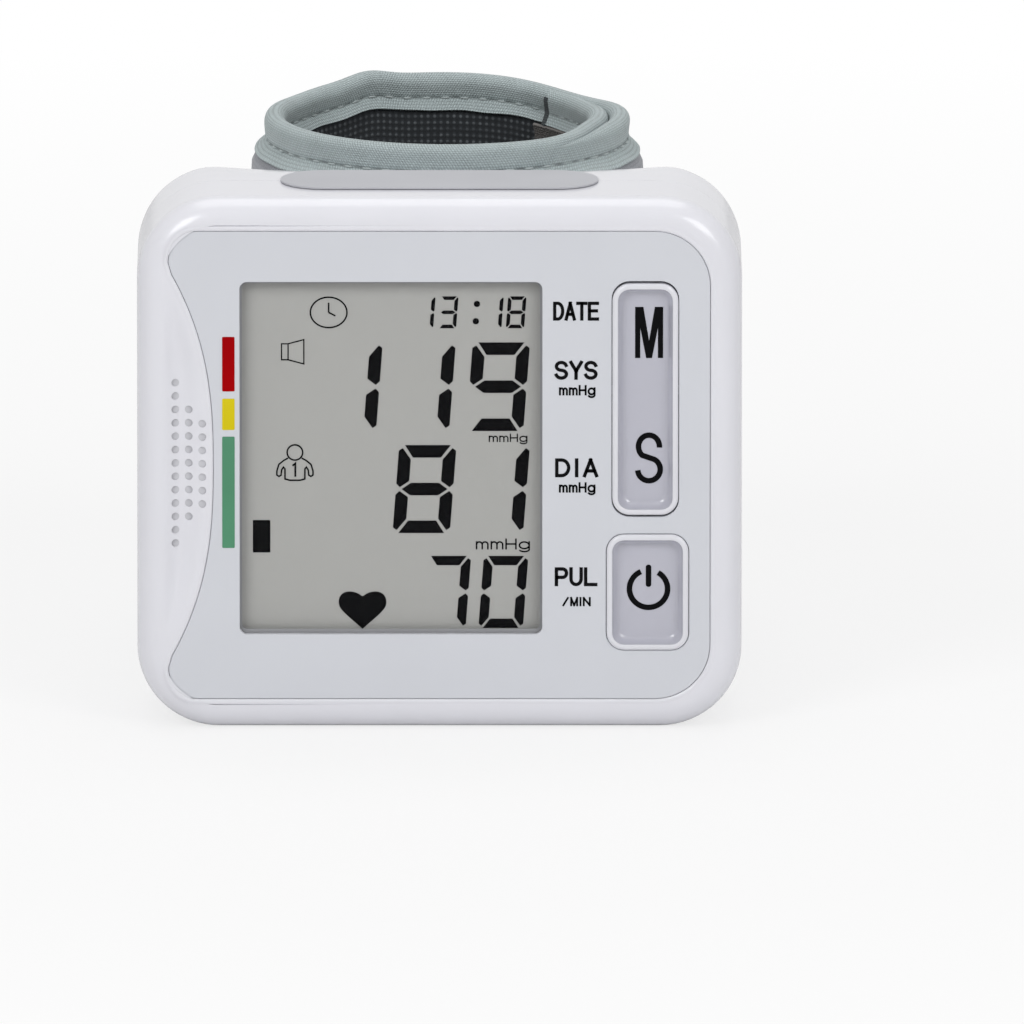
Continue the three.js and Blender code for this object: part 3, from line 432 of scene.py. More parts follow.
@dataclass(frozen=True)
class Woven(Finish):
    """Woven cloth: threads on the piece's own UV map, with slubs, fuzz and sheen."""

    along: float = 0.4
    across: float = 0.3
    depth: float = 0.12
    contrast: float = 0.3
    fuzz: float = 0.2
    lean: float = 0.0
    seams: tuple[float, ...] = ()
    seam_pitch: float = 2.5

    def wire(self, pen: Wiring, surface: bpy.types.Node) -> None:
        """Wires thread shade into the colour and thread height into the normal.

        Args:
            pen: adds the nodes.
            surface: the shader to feed.
        """
        cloth = self.cloth_map(pen)
        weave = Effect.WEAVE.add(pen, UV=cloth, Along=self.along, Across=self.across, Lean=self.lean)
        hands = Effect.HANDLING.add(pen, Vector=self.place(pen), Scale=70.0)
        valley = pen.spread(weave["Height"], 0.1, 0.9, 0, 1)
        threads = pen.mix(valley, self.shade(1 - self.contrast), self.shade(1 + self.contrast * 0.4))
        slub = pen.spread(weave["Slub"], 0.35, 0.7, 0, 1)
        worn = pen.mix(slub, threads, pen.mix(0.5, threads, self.shade(1.06)))
        soft = pen.mix(hands["Patches"], worn, pen.mix(0.12, worn, self.shade(0.8)))
        # Painted shade in the stitch grooves of each seam row.
        for seam in self.seams:
            soft = pen.mix(self.seam_shade(pen, cloth, seam), soft, self.shade(0.2))
        pen.feed(surface, {
            "Base Color": soft,
            "Roughness": pen.spread(weave["Height"], 0, 1, 0.95, 0.72),
            "Normal": pen.bump(weave["Height"], 0.7, self.depth),
            "Sheen Weight": self.fuzz,
            "Sheen Roughness": 0.45,
        })

    def seam_shade(self, pen: Wiring, cloth: bpy.types.NodeSocket, seam: float) -> bpy.types.NodeSocket:
        """Wires the painted shade in the groove along a row of stitches: most between the stitches, and
        uneven.

        Args:
            pen: adds the nodes.
            cloth: the UV map.
            seam: where the row lies across the cloth.

        Returns:
            The share of painted shade.
        """
        along, across, _ = pen.split(cloth)
        off = pen.math("ABSOLUTE", pen.math("SUBTRACT", across, seam))
        row = pen.spread(off, 0.06, 0.3, 1, 0)
        turn = pen.math("MULTIPLY", along, 2 * math.pi / self.seam_pitch)
        gap = pen.spread(pen.math("COSINE", turn), -1, 1, 0.3, 0.9)
        patchy = pen.spread(pen.noise(cloth, 0.7, 2.0), 0.35, 0.65, 0.3, 1)
        return pen.math("MULTIPLY", row, pen.math("MULTIPLY", gap, patchy))


@dataclass(frozen=True)
class Knit(Finish):
    """Dark knitted lining with a grid of paler knots."""

    pitch: float = 0.82
    knot: Colour = (104, 109, 113)

    def wire(self, pen: Wiring, surface: bpy.types.Node) -> None:
        """Wires a knot at every crossing of the grid, some paler than others.

        Args:
            pen: adds the nodes.
            surface: the shader to feed.
        """
        cloth = self.cloth_map(pen)
        along, across, _ = pen.split(cloth)
        turns = [pen.math("MULTIPLY", value, math.pi / self.pitch) for value in (along, across)]
        waves = [pen.math("SINE", turn) for turn in turns]
        rows, columns = (pen.math("MULTIPLY", wave, wave) for wave in waves)
        crossing = pen.math("MULTIPLY", rows, columns)
        knot = pen.spread(crossing, 0.35, 0.8, 0, 1)
        ridge = pen.spread(pen.math("MAXIMUM", rows, columns), 0, 1, 0, 1)
        ground = pen.mix(ridge, self.shade(0.6), self.shade(1.1))
        slub = pen.spread(pen.noise(cloth, 0.6, 3.0), 0.35, 0.65, 0.15, 1)
        height = pen.math("ADD", crossing, pen.math("MULTIPLY", pen.noise(cloth, 6.0, 2.0), 0.4))
        pen.feed(surface, {
            "Base Color": pen.mix(pen.math("MULTIPLY", knot, slub), ground, linear(self.knot)),
            "Roughness": pen.spread(knot, 0, 1, 0.95, 0.8),
            "Normal": pen.bump(height, 0.8, 0.2),
            "Sheen Weight": 0.15,
        })


@dataclass(frozen=True)
class Loops(Finish):
    """Touch tape: a bed of short bristles or of loops."""

    pitch: float = 1.1

    def wire(self, pen: Wiring, surface: bpy.types.Node) -> None:
        """Wires rows of tips into colour and height.

        Args:
            pen: adds the nodes.
            surface: the shader to feed.
        """
        bed = {"Vector": self.cloth_map(pen), "Scale": 1 / self.pitch, "Randomness": 0.4}
        tip = pen.spread(pen.node("TexVoronoi", bed).outputs["Distance"], 0.1, 0.5, 1, 0)
        pen.feed(surface, {
            "Base Color": pen.mix(tip, self.shade(0.55), self.shade(1.3)),
            "Roughness": pen.spread(tip, 0, 1, 0.8, 0.4),
            "Normal": pen.bump(tip, 1.0, 0.5),
        })


@dataclass(frozen=True)
class Board(Finish):
    """Circuit board with solder mask over its copper tracks."""

    def wire(self, pen: Wiring, surface: bpy.types.Node) -> None:
        """Wires square tracks into colour and height.

        Args:
            pen: adds the nodes.
            surface: the shader to feed.
        """
        place = self.place(pen)
        tracks = pen.node("TexBrick", {"Vector": place, "Scale": 220.0, "Mortar Size": 0.03}).outputs["Fac"]
        dust = Effect.HANDLING.add(pen, Vector=place, Scale=90.0)
        pen.feed(surface, {
            "Base Color": pen.mix(tracks, self.shade(0.8), self.shade(1.5)),
            "Roughness": pen.spread(dust["Patches"], 0, 1, 0.3, 0.5),
            "Normal": pen.bump(tracks, 0.3, 0.04),
        })


@dataclass(frozen=True)
class Jacket(Finish):
    """Printed metal jacket of a dry cell, with a plain band at its plus end; lengths are in metres."""

    band: Colour = (196, 160, 84)
    between: float = 0.025
    outer_end: float = 0.0228
    inner_end: float = 0.0455

    def wire(self, pen: Wiring, surface: bpy.types.Node) -> None:
        """Wires the band at each cell's plus end and faint scuffs.

        Args:
            pen: adds the nodes.
            surface: the shader to feed.
        """
        place = self.place(pen)
        across, _, height = pen.split(place)
        outer = pen.math("GREATER_THAN", across, self.between)
        low = pen.math("MULTIPLY", pen.math("LESS_THAN", height, self.outer_end), outer)
        above = pen.math("GREATER_THAN", height, self.inner_end)
        high = pen.math("MULTIPLY", above, pen.math("SUBTRACT", 1.0, outer))
        scuff = Effect.HANDLING.add(pen, Vector=place, Scale=150.0)
        pen.feed(surface, {
            "Base Color": pen.mix(pen.math("ADD", low, high), linear(self.colour), linear(self.band)),
            "Roughness": pen.spread(scuff["Patches"], 0, 1, 0.25, 0.4),
            "Metallic": 0.3,
        })


class Finishes:
    """Every finish on the monitor."""

    SHELL = Moulded("white_shell", (226, 226, 232), roughness=0.24, coat=0.35, grain=0.02, subsurface=0.05,
                    marks=0.012)
    PANEL = Moulded("blue_grey_panel", (210, 212, 218), roughness=0.34, coat=0.1, grain=0.03, marks=0.012)
    KEY_RIM = Moulded("key_rim", (223, 223, 229), roughness=0.22, coat=0.4, grain=0.02, marks=0.01)
    KEY_DISH = Moulded("key_dish", (186, 186, 197), roughness=0.12, coat=1.0, grain=0.0, subsurface=0.15,
                       marks=0.01)
    # Grey for the speaker dots: partly the grille cloth behind them, partly painted shade inside the holes.
    GRILLE_AND_HOLE_SHADE = Moulded("grille_and_hole_shade", (202, 202, 207), roughness=0.8, grain=0.4, marks=0.05)
    # A grey sheet that paints the shade along the display window's recessed edge.
    WINDOW_EDGE_SHADE = Moulded("window_edge_shade", (148, 149, 152), roughness=0.5, grain=0.1)
    LABEL = Moulded("silver_label", (186, 187, 192), roughness=0.5, grain=0.04, marks=0.03, gloss=0.25)
    DARK = Moulded("black_plastic", (32, 32, 34), roughness=0.45, grain=0.15)
    INNER = Moulded("inner_plastic", (214, 214, 218), roughness=0.4, grain=0.1)
    TUBE = Moulded("silicone_tube", (205, 205, 200), roughness=0.35, coat=0.1, grain=0.05, subsurface=0.3)
    LCD = DisplayFace("display_face", (172, 172, 169))
    SEGMENT = Ink("display_segment", (12, 12, 14), roughness=0.7, gloss=0.02)
    PRINT = Ink("dark_print", (14, 14, 16), roughness=0.65, gloss=0.05)
    KEY_PRINT = Ink("key_print", (12, 12, 14), roughness=0.65, gloss=0.05)
    RED = Ink("red_print", (160, 3, 8), roughness=0.7, gloss=0.03)
    YELLOW = Ink("yellow_print", (214, 196, 22))
    GREEN = Ink("green_print", (84, 142, 110))
    CLEAR = ClearSheet("clear_window", (252, 252, 252))
    STEEL = Metal("plain_steel", (190, 192, 195))
    BRASS = Metal("turned_brass", (186, 150, 84), roughness=0.25)
    COVER = Woven("cuff_cover_cloth", (150, 152, 158), along=0.55, across=0.55, depth=0.1, contrast=0.2)
    TAPE = Woven("binding_tape", (177, 189, 190), along=0.36, across=0.33, depth=0.18, contrast=0.45,
                 lean=0.5, seams=(1.5, 9.32))
    THREAD = Moulded("stitch_thread", (180, 189, 189), roughness=0.8, grain=0.5, grain_scale=6000.0,
                     marks=0.06)
    # Dark cloth at the tab's end: part tack, part painted shadow in the slit.
    TACK_AND_SLIT_SHADE = Woven("tab_end_tack_and_slit_shade", (66, 72, 74), along=0.3, across=0.3, depth=0.14, contrast=0.3, fuzz=0.1)
    LINER = Knit("cuff_liner_knit", (44, 48, 52))
    HOOK = Loops("hook_tape", (74, 74, 76))
    LOOPS = Loops("loop_tape", (146, 142, 139), pitch=0.34)
    BOARD = Board("circuit_board", (28, 88, 52))
    CELL = Jacket("cell_jacket_print", (44, 70, 98))


class Solid:
    """A closed surface grown ring by ring, in millimetres."""

    def __init__(self) -> None:
        """Starts with an empty mesh."""
        self.mesh = bmesh.new()

    def ring(self, points: Sequence[Vector]) -> Ring:
        """Lays a closed ring of edges.

        Args:
            points: the ring's corners in order.

        Returns:
            The ring's vertices, in the same order.
        """
        made = [self.mesh.verts.new(point * MM) for point in points]
        for first, second in zip(made, made[1:] + made[:1]):
            self.mesh.edges.new((first, second))
        return made

    @staticmethod
    def edges(ring: Ring) -> list[bmesh.types.BMEdge]:
        """The edges between a ring's neighbours."""
        pairs = zip(ring, ring[1:] + ring[:1])
        return [next(edge for edge in first.link_edges if second in edge.verts) for first, second in pairs]

    def grow(self, ring: Ring, points: Sequence[Vector]) -> Ring:
        """Extrudes a ring to new places.

        Args:
            ring: the ring to grow from.
            points: where its corners go, as many as the ring has.

        Returns:
            The new ring.
        """
        grown = bmesh.ops.extrude_edge_only(self.mesh, edges=self.edges(ring))["geom"]
        fresh = {item for item in grown if isinstance(item, bmesh.types.BMVert)}
        found = []
        for vertex, point in zip(ring, points):
            ends = (edge.other_vert(vertex) for edge in vertex.link_edges)
            top = next(end for end in ends if end in fresh)
            top.co = point * MM
            found.append(top)
        return found

    def grow_all(self, ring: Ring, steps: Sequence[Sequence[Vector]]) -> Ring:
        """Grows a ring through the points of further rings and gives the last."""
        return reduce(self.grow, steps, ring)

    def cap(self, *rings: Ring) -> None:
        """Fills the flat area between an outer ring and the rings of its holes."""
        lines = [edge for ring in rings for edge in self.edges(ring)]
        bmesh.ops.triangle_fill(self.mesh, use_beauty=True, use_dissolve=False, edges=lines)

    def close(self, rings: Sequence[Sequence[Vector]]) -> None:
        """Grows a skin from the first ring through the others and closes both of its ends."""
        for ends in self.tunnels([rings]):
            self.cap(*ends)

    def sleeve(self, rings: Sequence[Sequence[Vector]]) -> None:
        """Grows a skin through several rings and closes the flat area between the first and the last."""
        first = self.ring(rings[0])
        self.cap(first, self.grow_all(first, rings[1:]))

    def tunnels(self, walls: Sequence[Sequence[Sequence[Vector]]]) -> tuple[list[Ring], list[Ring]]:
        """Grows the walls of several openings.

        Args:
            walls: the rings of each opening, in order.

        Returns:
            Their first rings and their last rings.
        """
        starts = [self.ring(rings[0]) for rings in walls]
        ends = [self.grow_all(start, rings[1:]) for start, rings in zip(starts, walls)]
        return starts, ends

    def block(self, low: Vector, high: Vector) -> None:
        """Adds a box between two corners.

        Args:
            low: its lowest corner.
            high: its highest corner.
        """
        size = Matrix.Diagonal(((high - low) * MM).to_4d())
        size[3][3] = 1.0
        bmesh.ops.create_cube(self.mesh, size=1.0, matrix=Matrix.Translation((low + high) / 2 * MM) @ size)

    def piece(self, name: str, *finishes: Finish, smooth: float = 35.0,
              even: bool = True) -> bpy.types.Object:
        """Turns the surface into a piece.

        Args:
            name: the piece's name.
            finishes: what its material slots get.
            smooth: edges sharper than this many degrees stay sharp.
            even: whether flat faces keep flat shading beside round edges.

        Returns:
            The new object, in the scene.
        """
        bmesh.ops.remove_doubles(self.mesh, verts=self.mesh.verts, dist=1e-7)
        bmesh.ops.recalc_face_normals(self.mesh, faces=self.mesh.faces)
        return finish_mesh(self.mesh, name, finishes, smooth, even)


def finish_mesh(mesh: bmesh.types.BMesh, name: str, finishes: Sequence[Finish], smooth: float = 35.0,
                even: bool = True) -> bpy.types.Object:
    """Makes an object of a finished bmesh and frees the bmesh.

    Args:
        mesh: the geometry, in metres.
        name: the piece's name.
        finishes: what its material slots get.
        smooth: edges sharper than this many degrees stay sharp.
        even: whether flat faces keep flat shading beside round edges.

    Returns:
        The new object, in the scene.
    """
    data = bpy.data.meshes.new(name)
    mesh.to_mesh(data)
    mesh.free()
    for finish in finishes:
        data.materials.append(finish.material())
    piece = bpy.data.objects.new(name, data)
    bpy.context.scene.collection.objects.link(piece)
    shade_edges(piece, smooth, even)
    return piece


def apply_modifiers(piece: bpy.types.Object) -> None:
    """Replaces a piece's mesh by its mesh with all modifiers applied.

    Args:
        piece: the piece to change.
    """
    graph = bpy.context.evaluated_depsgraph_get()
    solid = bpy.data.meshes.new_from_object(piece.evaluated_get(graph), depsgraph=graph)
    piece.modifiers.clear()
    piece.data = solid


class Join(Enum):
    """The ways in which two solids meet."""

    ADD = "UNION"
    CUT = "DIFFERENCE"
    OVERLAP = "INTERSECT"


def combine(piece: bpy.types.Object, tool: bpy.types.Object, join: Join) -> None:
    """Adds, cuts or keeps the overlap of a second piece, which is used up.

    Args:
        piece: the piece that changes.
        tool: the piece that it meets.
        join: how they meet.
    """
    cut = piece.modifiers.new("combine", "BOOLEAN")
    cut.operation = join.value
    cut.solver = "EXACT"
    cut.material_mode = "TRANSFER"
    cut.object = tool
    apply_modifiers(piece)
    bpy.data.objects.remove(tool)


def shade_edges(piece: bpy.types.Object, angle: float = 35.0, even: bool = True) -> None:
    """Smooths a piece's faces and marks its sharp edges.

    Args:
        piece: the piece to shade.
        angle: edges sharper than this many degrees stay sharp.
        even: whether flat faces keep flat shading beside round edges.
    """
    piece.data.polygons.foreach_set("use_smooth", [True] * len(piece.data.polygons))
    piece.data.set_sharp_from_angle(angle=math.radians(angle))
    if even:
        piece.modifiers.new("even_shading", "WEIGHTED_NORMAL").keep_sharp = True


def settle(piece: bpy.types.Object, body: str, slot: str, *nodes: str) -> None:
    """Gives a piece its body, hides the CAD nodes it stands for and logs it.

    Args:
        piece: the piece, in its place.
        body: the body that it moves with.
        slot: the record's material slot.
        nodes: CAD nodes that it takes the place of.
    """
    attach(piece, body)
    stand_in(piece, slot, *nodes)
    log.info("%s rides %s", piece.name, body)


def stand_in(piece: bpy.types.Object, slot: str, *nodes: str) -> None:
    """Hides the CAD nodes that a piece takes the place of.

    Args:
        piece: the piece; not used.
        slot: the record's material slot; not used.
        nodes: the CAD nodes.
    """
    if nodes:
        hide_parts(*nodes)


def box(node: str) -> tuple[Vector, Vector]:
    """A CAD node's low and high corner, in millimetres."""
    low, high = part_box(node)
    return Vector(low) / MM, Vector(high) / MM


def arc(centre: Vector, radius: Vector, start: float, end: float, steps: int) -> list[Vector]:
    """Points along an ellipse's arc in degrees, without its last point."""
    turns = [math.radians(start + (end - start) * step / steps) for step in range(steps)]
    return [centre + radius * Vector((math.cos(turn), math.sin(turn))) for turn in turns]


def line(first: Vector, second: Vector, steps: int) -> list[Vector]:
    """Points along a line, without its last point."""
    return [first.lerp(second, step / steps) for step in range(steps)]


@dataclass(frozen=True)
class Outline:
    """A closed line as seen from the front, anticlockwise, in millimetres across and up."""

    points: tuple[Vector, ...]

    @classmethod
    def rounded(cls, low: Vector, high: Vector, radius: float, arc_steps: tuple[int, int],
                side_steps: tuple[int, int, int, int] = (1, 1, 1, 1)) -> "Outline":
        """A rectangle with round corners.

        Args:
            low: its lower left corner.
            high: its upper right corner.
            radius: of its corners.
            arc_steps: steps in the corners on the right and on the left.
            side_steps: steps on the right, top, left and bottom sides.

        Returns:
            The outline, from the right side's lower end.
        """
        size = Vector((radius, radius))
        inner_low, inner_high = low + size, high - size
        right, top, left, bottom = side_steps
        right_turn, left_turn = arc_steps
        points = line(Vector((high.x, inner_low.y)), Vector((high.x, inner_high.y)), right)
        points += arc(inner_high, size, 0, 90, right_turn)
        points += line(Vector((inner_high.x, high.y)), Vector((inner_low.x, high.y)), top)
        points += arc(Vector((inner_low.x, inner_high.y)), size, 90, 180, left_turn)
        points += line(Vector((low.x, inner_high.y)), Vector((low.x, inner_low.y)), left)
        points += arc(inner_low, size, 180, 270, left_turn)
        points += line(Vector((inner_low.x, low.y)), Vector((inner_high.x, low.y)), bottom)
        points += arc(Vector((inner_high.x, inner_low.y)), size, 270, 360, right_turn)
        return cls(tuple(points))

    @classmethod
    def circle(cls, centre: Vector, radius: float, steps: int = 32) -> "Outline":
        """A circle."""
        return cls(tuple(arc(centre, Vector((radius, radius)), 0, 360, steps)))

    def moved_out(self, distance: float) -> list[Vector]:
        """The points moved square to the line, outwards.

        Args:
            distance: how far, inwards where less than 0.

        Returns:
            The moved points.
        """
        count = len(self.points)
        moved = []
        for index, point in enumerate(self.points):
            before = (point - self.points[index - 1]).normalized()
            after = (self.points[(index + 1) % count] - point).normalized()
            first, second = Vector((before.y, -before.x)), Vector((after.y, -after.x))
            moved.append(point + (first + second) * (distance / (1 + first.dot(second))))
        return moved

    def ring(self, grow: float, depth: float) -> list[Vector]:
        """Points in space: the line grown by a distance, at a depth along Y."""
        return [Vector((point.x, depth, point.y)) for point in self.moved_out(grow)]

    def rings(self, steps: Sequence[tuple[float, float]]) -> list[list[Vector]]:
        """Rings from pairs of growth and depth."""
        return [self.ring(grow, depth) for grow, depth in steps]


def plug(name: str, outlines: Sequence[Outline], start: float, end: float) -> bpy.types.Object:
    """Makes a tool of straight blocks with given outlines between two depths.

    Args:
        name: the tool's name.
        outlines: one for each block.
        start: the first depth.
        end: the second depth.

    Returns:
        The tool.
    """
    body = Solid()
    for outline in outlines:
        body.close(outline.rings([(0, start), (0, end)]))
    return body.piece(name, Finishes.SHELL, even=False)


def rounding(radius: float, inset: float, depth: float, steps: int,
             way: float = -1.0) -> list[tuple[float, float]]:
    """Inset and depth along a quarter round, from the side towards the face.

    Args:
        radius: of the round.
        inset: where the round starts, inwards.
        depth: where the round starts along Y.
        steps: number of steps.
        way: -1 for a face that looks to -Y, 1 for one that looks to +Y.

    Returns:
        Pairs of inset and depth, without the start.
    """
    turns = [math.pi / 2 * step / steps for step in range(1, steps + 1)]
    return [(inset + radius * (1 - math.cos(turn)), depth + way * radius * math.sin(turn)) for turn in turns]


@dataclass(frozen=True)
class FaceLayout:
    """Where everything on the front of the housing lies, as seen from the front."""

    front: float
    housing: Outline
    panel: Outline
    window: Outline
    window_clear: Outline
    rocker: Outline
    rocker_opening: Outline
    power: Outline
    middle: float

    PANEL_SIDE = 34.0
    PANEL_ENDS = (4.0, 64.0)
    PANEL_CORNER = 7.0
    SHOULDER = Vector((-30.4, 60.0))
    SHOULDER_SIZE = Vector((3.65, 4.0))
    ARC_APEX = -28.4
    ARC_BOW = 0.001277
    ARC_POWER = 2.6
    ARC_REACH = 24.5
    HOUSING_CORNER = 10.3
    SIDE_STEPS = (24, 24, 64, 24)
    RIGHT_STEPS = 16
    LEFT_STEPS = 18
    TIP_STEPS = 4

    @classmethod
    def from_frame(cls) -> "FaceLayout":
        """Takes the housing's size from the frame and draws the outlines.

        Returns:
            The layout.
        """
        low, high = box("front_shell")
        middle = (low.z + high.z) / 2
        return cls(
            front=low.y,
            housing=cls.housing_outline(Vector((low.x, low.z)), Vector((high.x, high.z))),
            panel=cls.panel_outline(middle),
            window=Outline.rounded(Vector((-25.1, 12.3)), Vector((12.9, 57.5)), 0.9, (6, 6)),
            window_clear=Outline.rounded(Vector((-24.8, 12.82)), Vector((12.6, 57.2)), 0.6, (6, 6)),
            rocker=cls.key_outline(Vector((25.85, 42.5)), Vector((8.3, 29.7))),
            rocker_opening=cls.key_outline(Vector((25.85, 42.5)), Vector((8.3, 30.1))),
            power=cls.key_outline(Vector((26.15, 17.725)), Vector((10.3, 14.85))),
            middle=middle,
        )

    @staticmethod
    def key_outline(centre: Vector, size: Vector) -> Outline:
        """A key's cap."""
        return Outline.rounded(centre - size / 2, centre + size / 2, 2.2, (8, 8), (10, 4, 10, 4))

    @classmethod
    def housing_outline(cls, low: Vector, high: Vector) -> Outline:
        """The housing's silhouette, with as many points as the panel's outline has in each stretch."""
        turns = (cls.RIGHT_STEPS, cls.LEFT_STEPS)
        return Outline.rounded(low, high, cls.HOUSING_CORNER, turns, cls.SIDE_STEPS)

    @classmethod
    def panel_outline(cls, middle: float) -> Outline:
        """The panel: straight on three sides, a shallow arc between two shoulders on the left.

        Args:
            middle: half the housing's height.

        Returns:
            The outline.
        """
        low, high = cls.PANEL_ENDS
        corner = Vector((cls.PANEL_CORNER, cls.PANEL_CORNER))
        right, top, left, bottom = cls.SIDE_STEPS
        upper = Vector((cls.PANEL_SIDE, high)) - corner
        lower = Vector((upper.x, low + corner.y))
        shoulder = arc(cls.SHOULDER, cls.SHOULDER_SIZE, 90, 180, cls.LEFT_STEPS - cls.TIP_STEPS)
        edge = Vector((cls.SHOULDER.x - cls.SHOULDER_SIZE.x, cls.SHOULDER.y))
        reach = [cls.ARC_REACH * (1 - 2 * step / left) for step in range(left + 1)]
        bend = [cls.ARC_APEX - cls.ARC_BOW * abs(away) ** cls.ARC_POWER for away in reach]
        bow = [Vector((across, middle + away)) for across, away in zip(bend, reach)]
        tip = line(edge, bow[0], cls.TIP_STEPS)
        turned = [Vector((point.x, 2 * middle - point.y)) for point in reversed(shoulder + tip)]
        points = line(Vector((cls.PANEL_SIDE, lower.y)), Vector((cls.PANEL_SIDE, upper.y)), right)
        points += arc(upper, corner, 0, 90, cls.RIGHT_STEPS)
        points += line(Vector((upper.x, high)), Vector((cls.SHOULDER.x, high)), top)
        points += shoulder + tip + bow + turned[:-1]
        points += line(Vector((cls.SHOULDER.x, low)), Vector((lower.x, low)), bottom)
        points += arc(lower, corner, 270, 360, cls.RIGHT_STEPS)
        return Outline(tuple(points))


@dataclass
class Housing:
    """Front shell with its valley and speaker holes, rear shell and battery door."""

    face: FaceLayout
    wall: float = 2.0
    seam: float = -2.0
    seam_chamfer: float = 0.06
    front_fillet: float = 3.2
    rear_fillet: float = 8.0
    front_wall: float = 3.1
    panel_recess: float = 1.0
    panel_gap: float = 0.05
    bead: float = 0.6
    bead_rise: float = 0.07
    valley_depth: float = 0.9
    valley_lean: float = 0.85
    valley_loops: int = 16
    window_flange: float = 1.3
    window_ledge: float = 2.1
    key_gap: float = 0.35
    hole_columns: tuple[tuple[float, int], ...] = ((-33.2, 13), (-31.5, 9), (-29.8, 7))
    hole_pitch: float = 1.717
    hole_lift: float = 0.2
    hole_radius: float = 0.49
    hole_depth: float = 0.2
    valley_widths: tuple[float, float] = (1.6, 5.0)
    scallop: float = 1.1
    scallop_half: float = 30.0
    scallop_start: float = 3.0
    scallop_length: float = 5.0
    scallop_heights: tuple[float, float] = (52.0, 60.0)
    screw_room: float = 0.3
    boss_wall: float = 1.1
    boss_start: float = 0.2
    well_depth: float = 1.6
    bay_wall: float = 1.2
    door_gap: float = 0.3
    groove_pitch: float = 2.4
    groove_depth: float = 0.5
    groove_ends: tuple[float, float] = (1.0, 4.5)

    def rings(self, profile: Sequence[tuple[float, float]]) -> list[list[Vector]]:
        """Rings round the housing, from pairs of inset and depth."""
        return [self.face.housing.ring(-inset, depth) for inset, depth in profile]

    def build(self) -> None:
        """Builds all three pieces."""
        settle(self.front_shell(), "housing", "shell_plastic", "front_shell")
        settle(self.rear_shell(), "housing", "shell_plastic", "rear_shell")
        settle(self.door(), "door", "shell_plastic", "battery_door")

    def front_shell(self) -> bpy.types.Object:
        """The front shell: side, round edge, valley, bead, recess for the panel, openings and inside.

        Returns:
            The piece.
        """
        front, face = self.face.front, self.face
        inside = front + self.front_wall
        floor = front + self.panel_recess
        body = Solid()
        inner_edge = body.ring(face.housing.ring(-self.wall, self.seam))
        profile = [(self.seam_chamfer, self.seam), (0.0, self.seam - self.seam_chamfer)]
        profile += [(0.0, self.seam - 3.0), (0.0, front + self.front_fillet)]
        profile += rounding(self.front_fillet, 0.0, front + self.front_fillet, 10)
        bead, rise = self.bead, self.bead_rise
        lip = [(bead * 0.7, -rise), (bead * 0.4, -rise), (0.1, -0.02), (0.0, 0.12), (0.0, self.panel_recess)]
        lip = [(grow + self.panel_gap, front + depth) for grow, depth in lip]
        edge = body.grow_all(inner_edge, self.rings(profile) + self.valley() + face.panel.rings(lip))
        ledge, flange, gap = front + self.window_ledge, self.window_flange, self.key_gap
        walls = [face.window.rings([(flange, floor), (flange, ledge), (0.0, ledge), (0.0, inside)])]
        walls += [key.rings([(gap, floor), (gap, inside)]) for key in (face.rocker, face.power)]
        starts, ends = body.tunnels(walls)
        body.cap(edge, *starts)
        inner = [(self.wall, inside + self.wall)] + rounding(self.wall, self.wall, inside + self.wall, 5)
        body.cap(body.grow_all(inner_edge, self.rings(inner)), *ends)
        shell = body.piece("front_case", Finishes.SHELL, even=False)
        combine(shell, self.speaker_holes(shell), Join.CUT)
        shade_edges(shell)
        return shell

    def valley(self) -> list[list[Vector]]:
        """Loops from the rim's crest to the panel's bead; on the left they dip into a shallow valley.

        Returns:
            The points of each loop.
        """
        front = self.face.front
        crest = self.face.housing.ring(-self.front_fillet, front)
        brink = self.face.panel.ring(self.panel_gap + self.bead, front)
        loops = []
        for step in range(1, self.valley_loops + 1):
            share = step / self.valley_loops
            dip = 0.5 * (1 - math.cos(2 * math.pi * share ** self.valley_lean))
            loops.append([outer.lerp(inner, share) for outer, inner in zip(crest, brink)])
            for place, outer, inner in zip(loops[-1], crest, brink):
                place.y += self.valley_depth * dip * smooth_step(*self.valley_widths, (outer - inner).length)
        return loops

    def speaker_holes(self, shell: bpy.types.Object) -> bpy.types.Object:
        """Short round plugs that cut the speaker's dots a little below the shell's surface.

        Args:
            shell: the front shell, without its dots.

        Returns:
            The plugs, as one tool; their floor takes a grey that partly stands for the grille cloth and
            partly paints the shade inside the holes.
        """
        body, start = Solid(), self.face.front - 1.0
        for across, count in self.hole_columns:
            for row in range(count):
                height = self.face.middle + self.hole_lift + (row - (count - 1) / 2) * self.hole_pitch
                surface = shell.ray_cast(Vector((across, start, height)) * MM, Vector((0, 1, 0)))[1].y / MM
                dot = Outline.circle(Vector((across, height)), self.hole_radius, 20)
                body.close(dot.rings([(0.0, start), (0.0, surface + self.hole_depth)]))
        return body.piece("speaker_dots", Finishes.GRILLE_AND_HOLE_SHADE, even=False)

    def dip_top(self, shell: bpy.types.Object) -> None:
        """Lowers the middle of the rear shell's upper edge a little, where the cuff passes behind it.

        Args:
            shell: the rear shell.
        """
        for vertex in shell.data.vertices:
            across, depth, height = vertex.co / MM
            middle = max(1 - (across / self.scallop_half) ** 2, 0.0)
            back = smooth_step(self.scallop_start, self.scallop_start + self.scallop_length, depth)
            vertex.co.z -= self.scallop * middle * back * smooth_step(*self.scallop_heights, height) * MM

    def rear_block(self, inset: float, start: float, back: float, name: str) -> bpy.types.Object:
        """A solid block shaped like the rear half, drawn in all round by an inset.

        Args:
            inset: how far it is drawn in.
            start: its front.
            back: its back.
            name: its name.

        Returns:
            The block.
        """
        radius = self.rear_fillet - inset
        side = [(inset, depth) for depth in (start, start + 0.5, self.scallop_start, back - radius)]
        body = Solid()
        body.close(self.rings(side + rounding(radius, inset, back - radius, 12, way=1.0)))
        return body.piece(name, Finishes.SHELL, even=False)

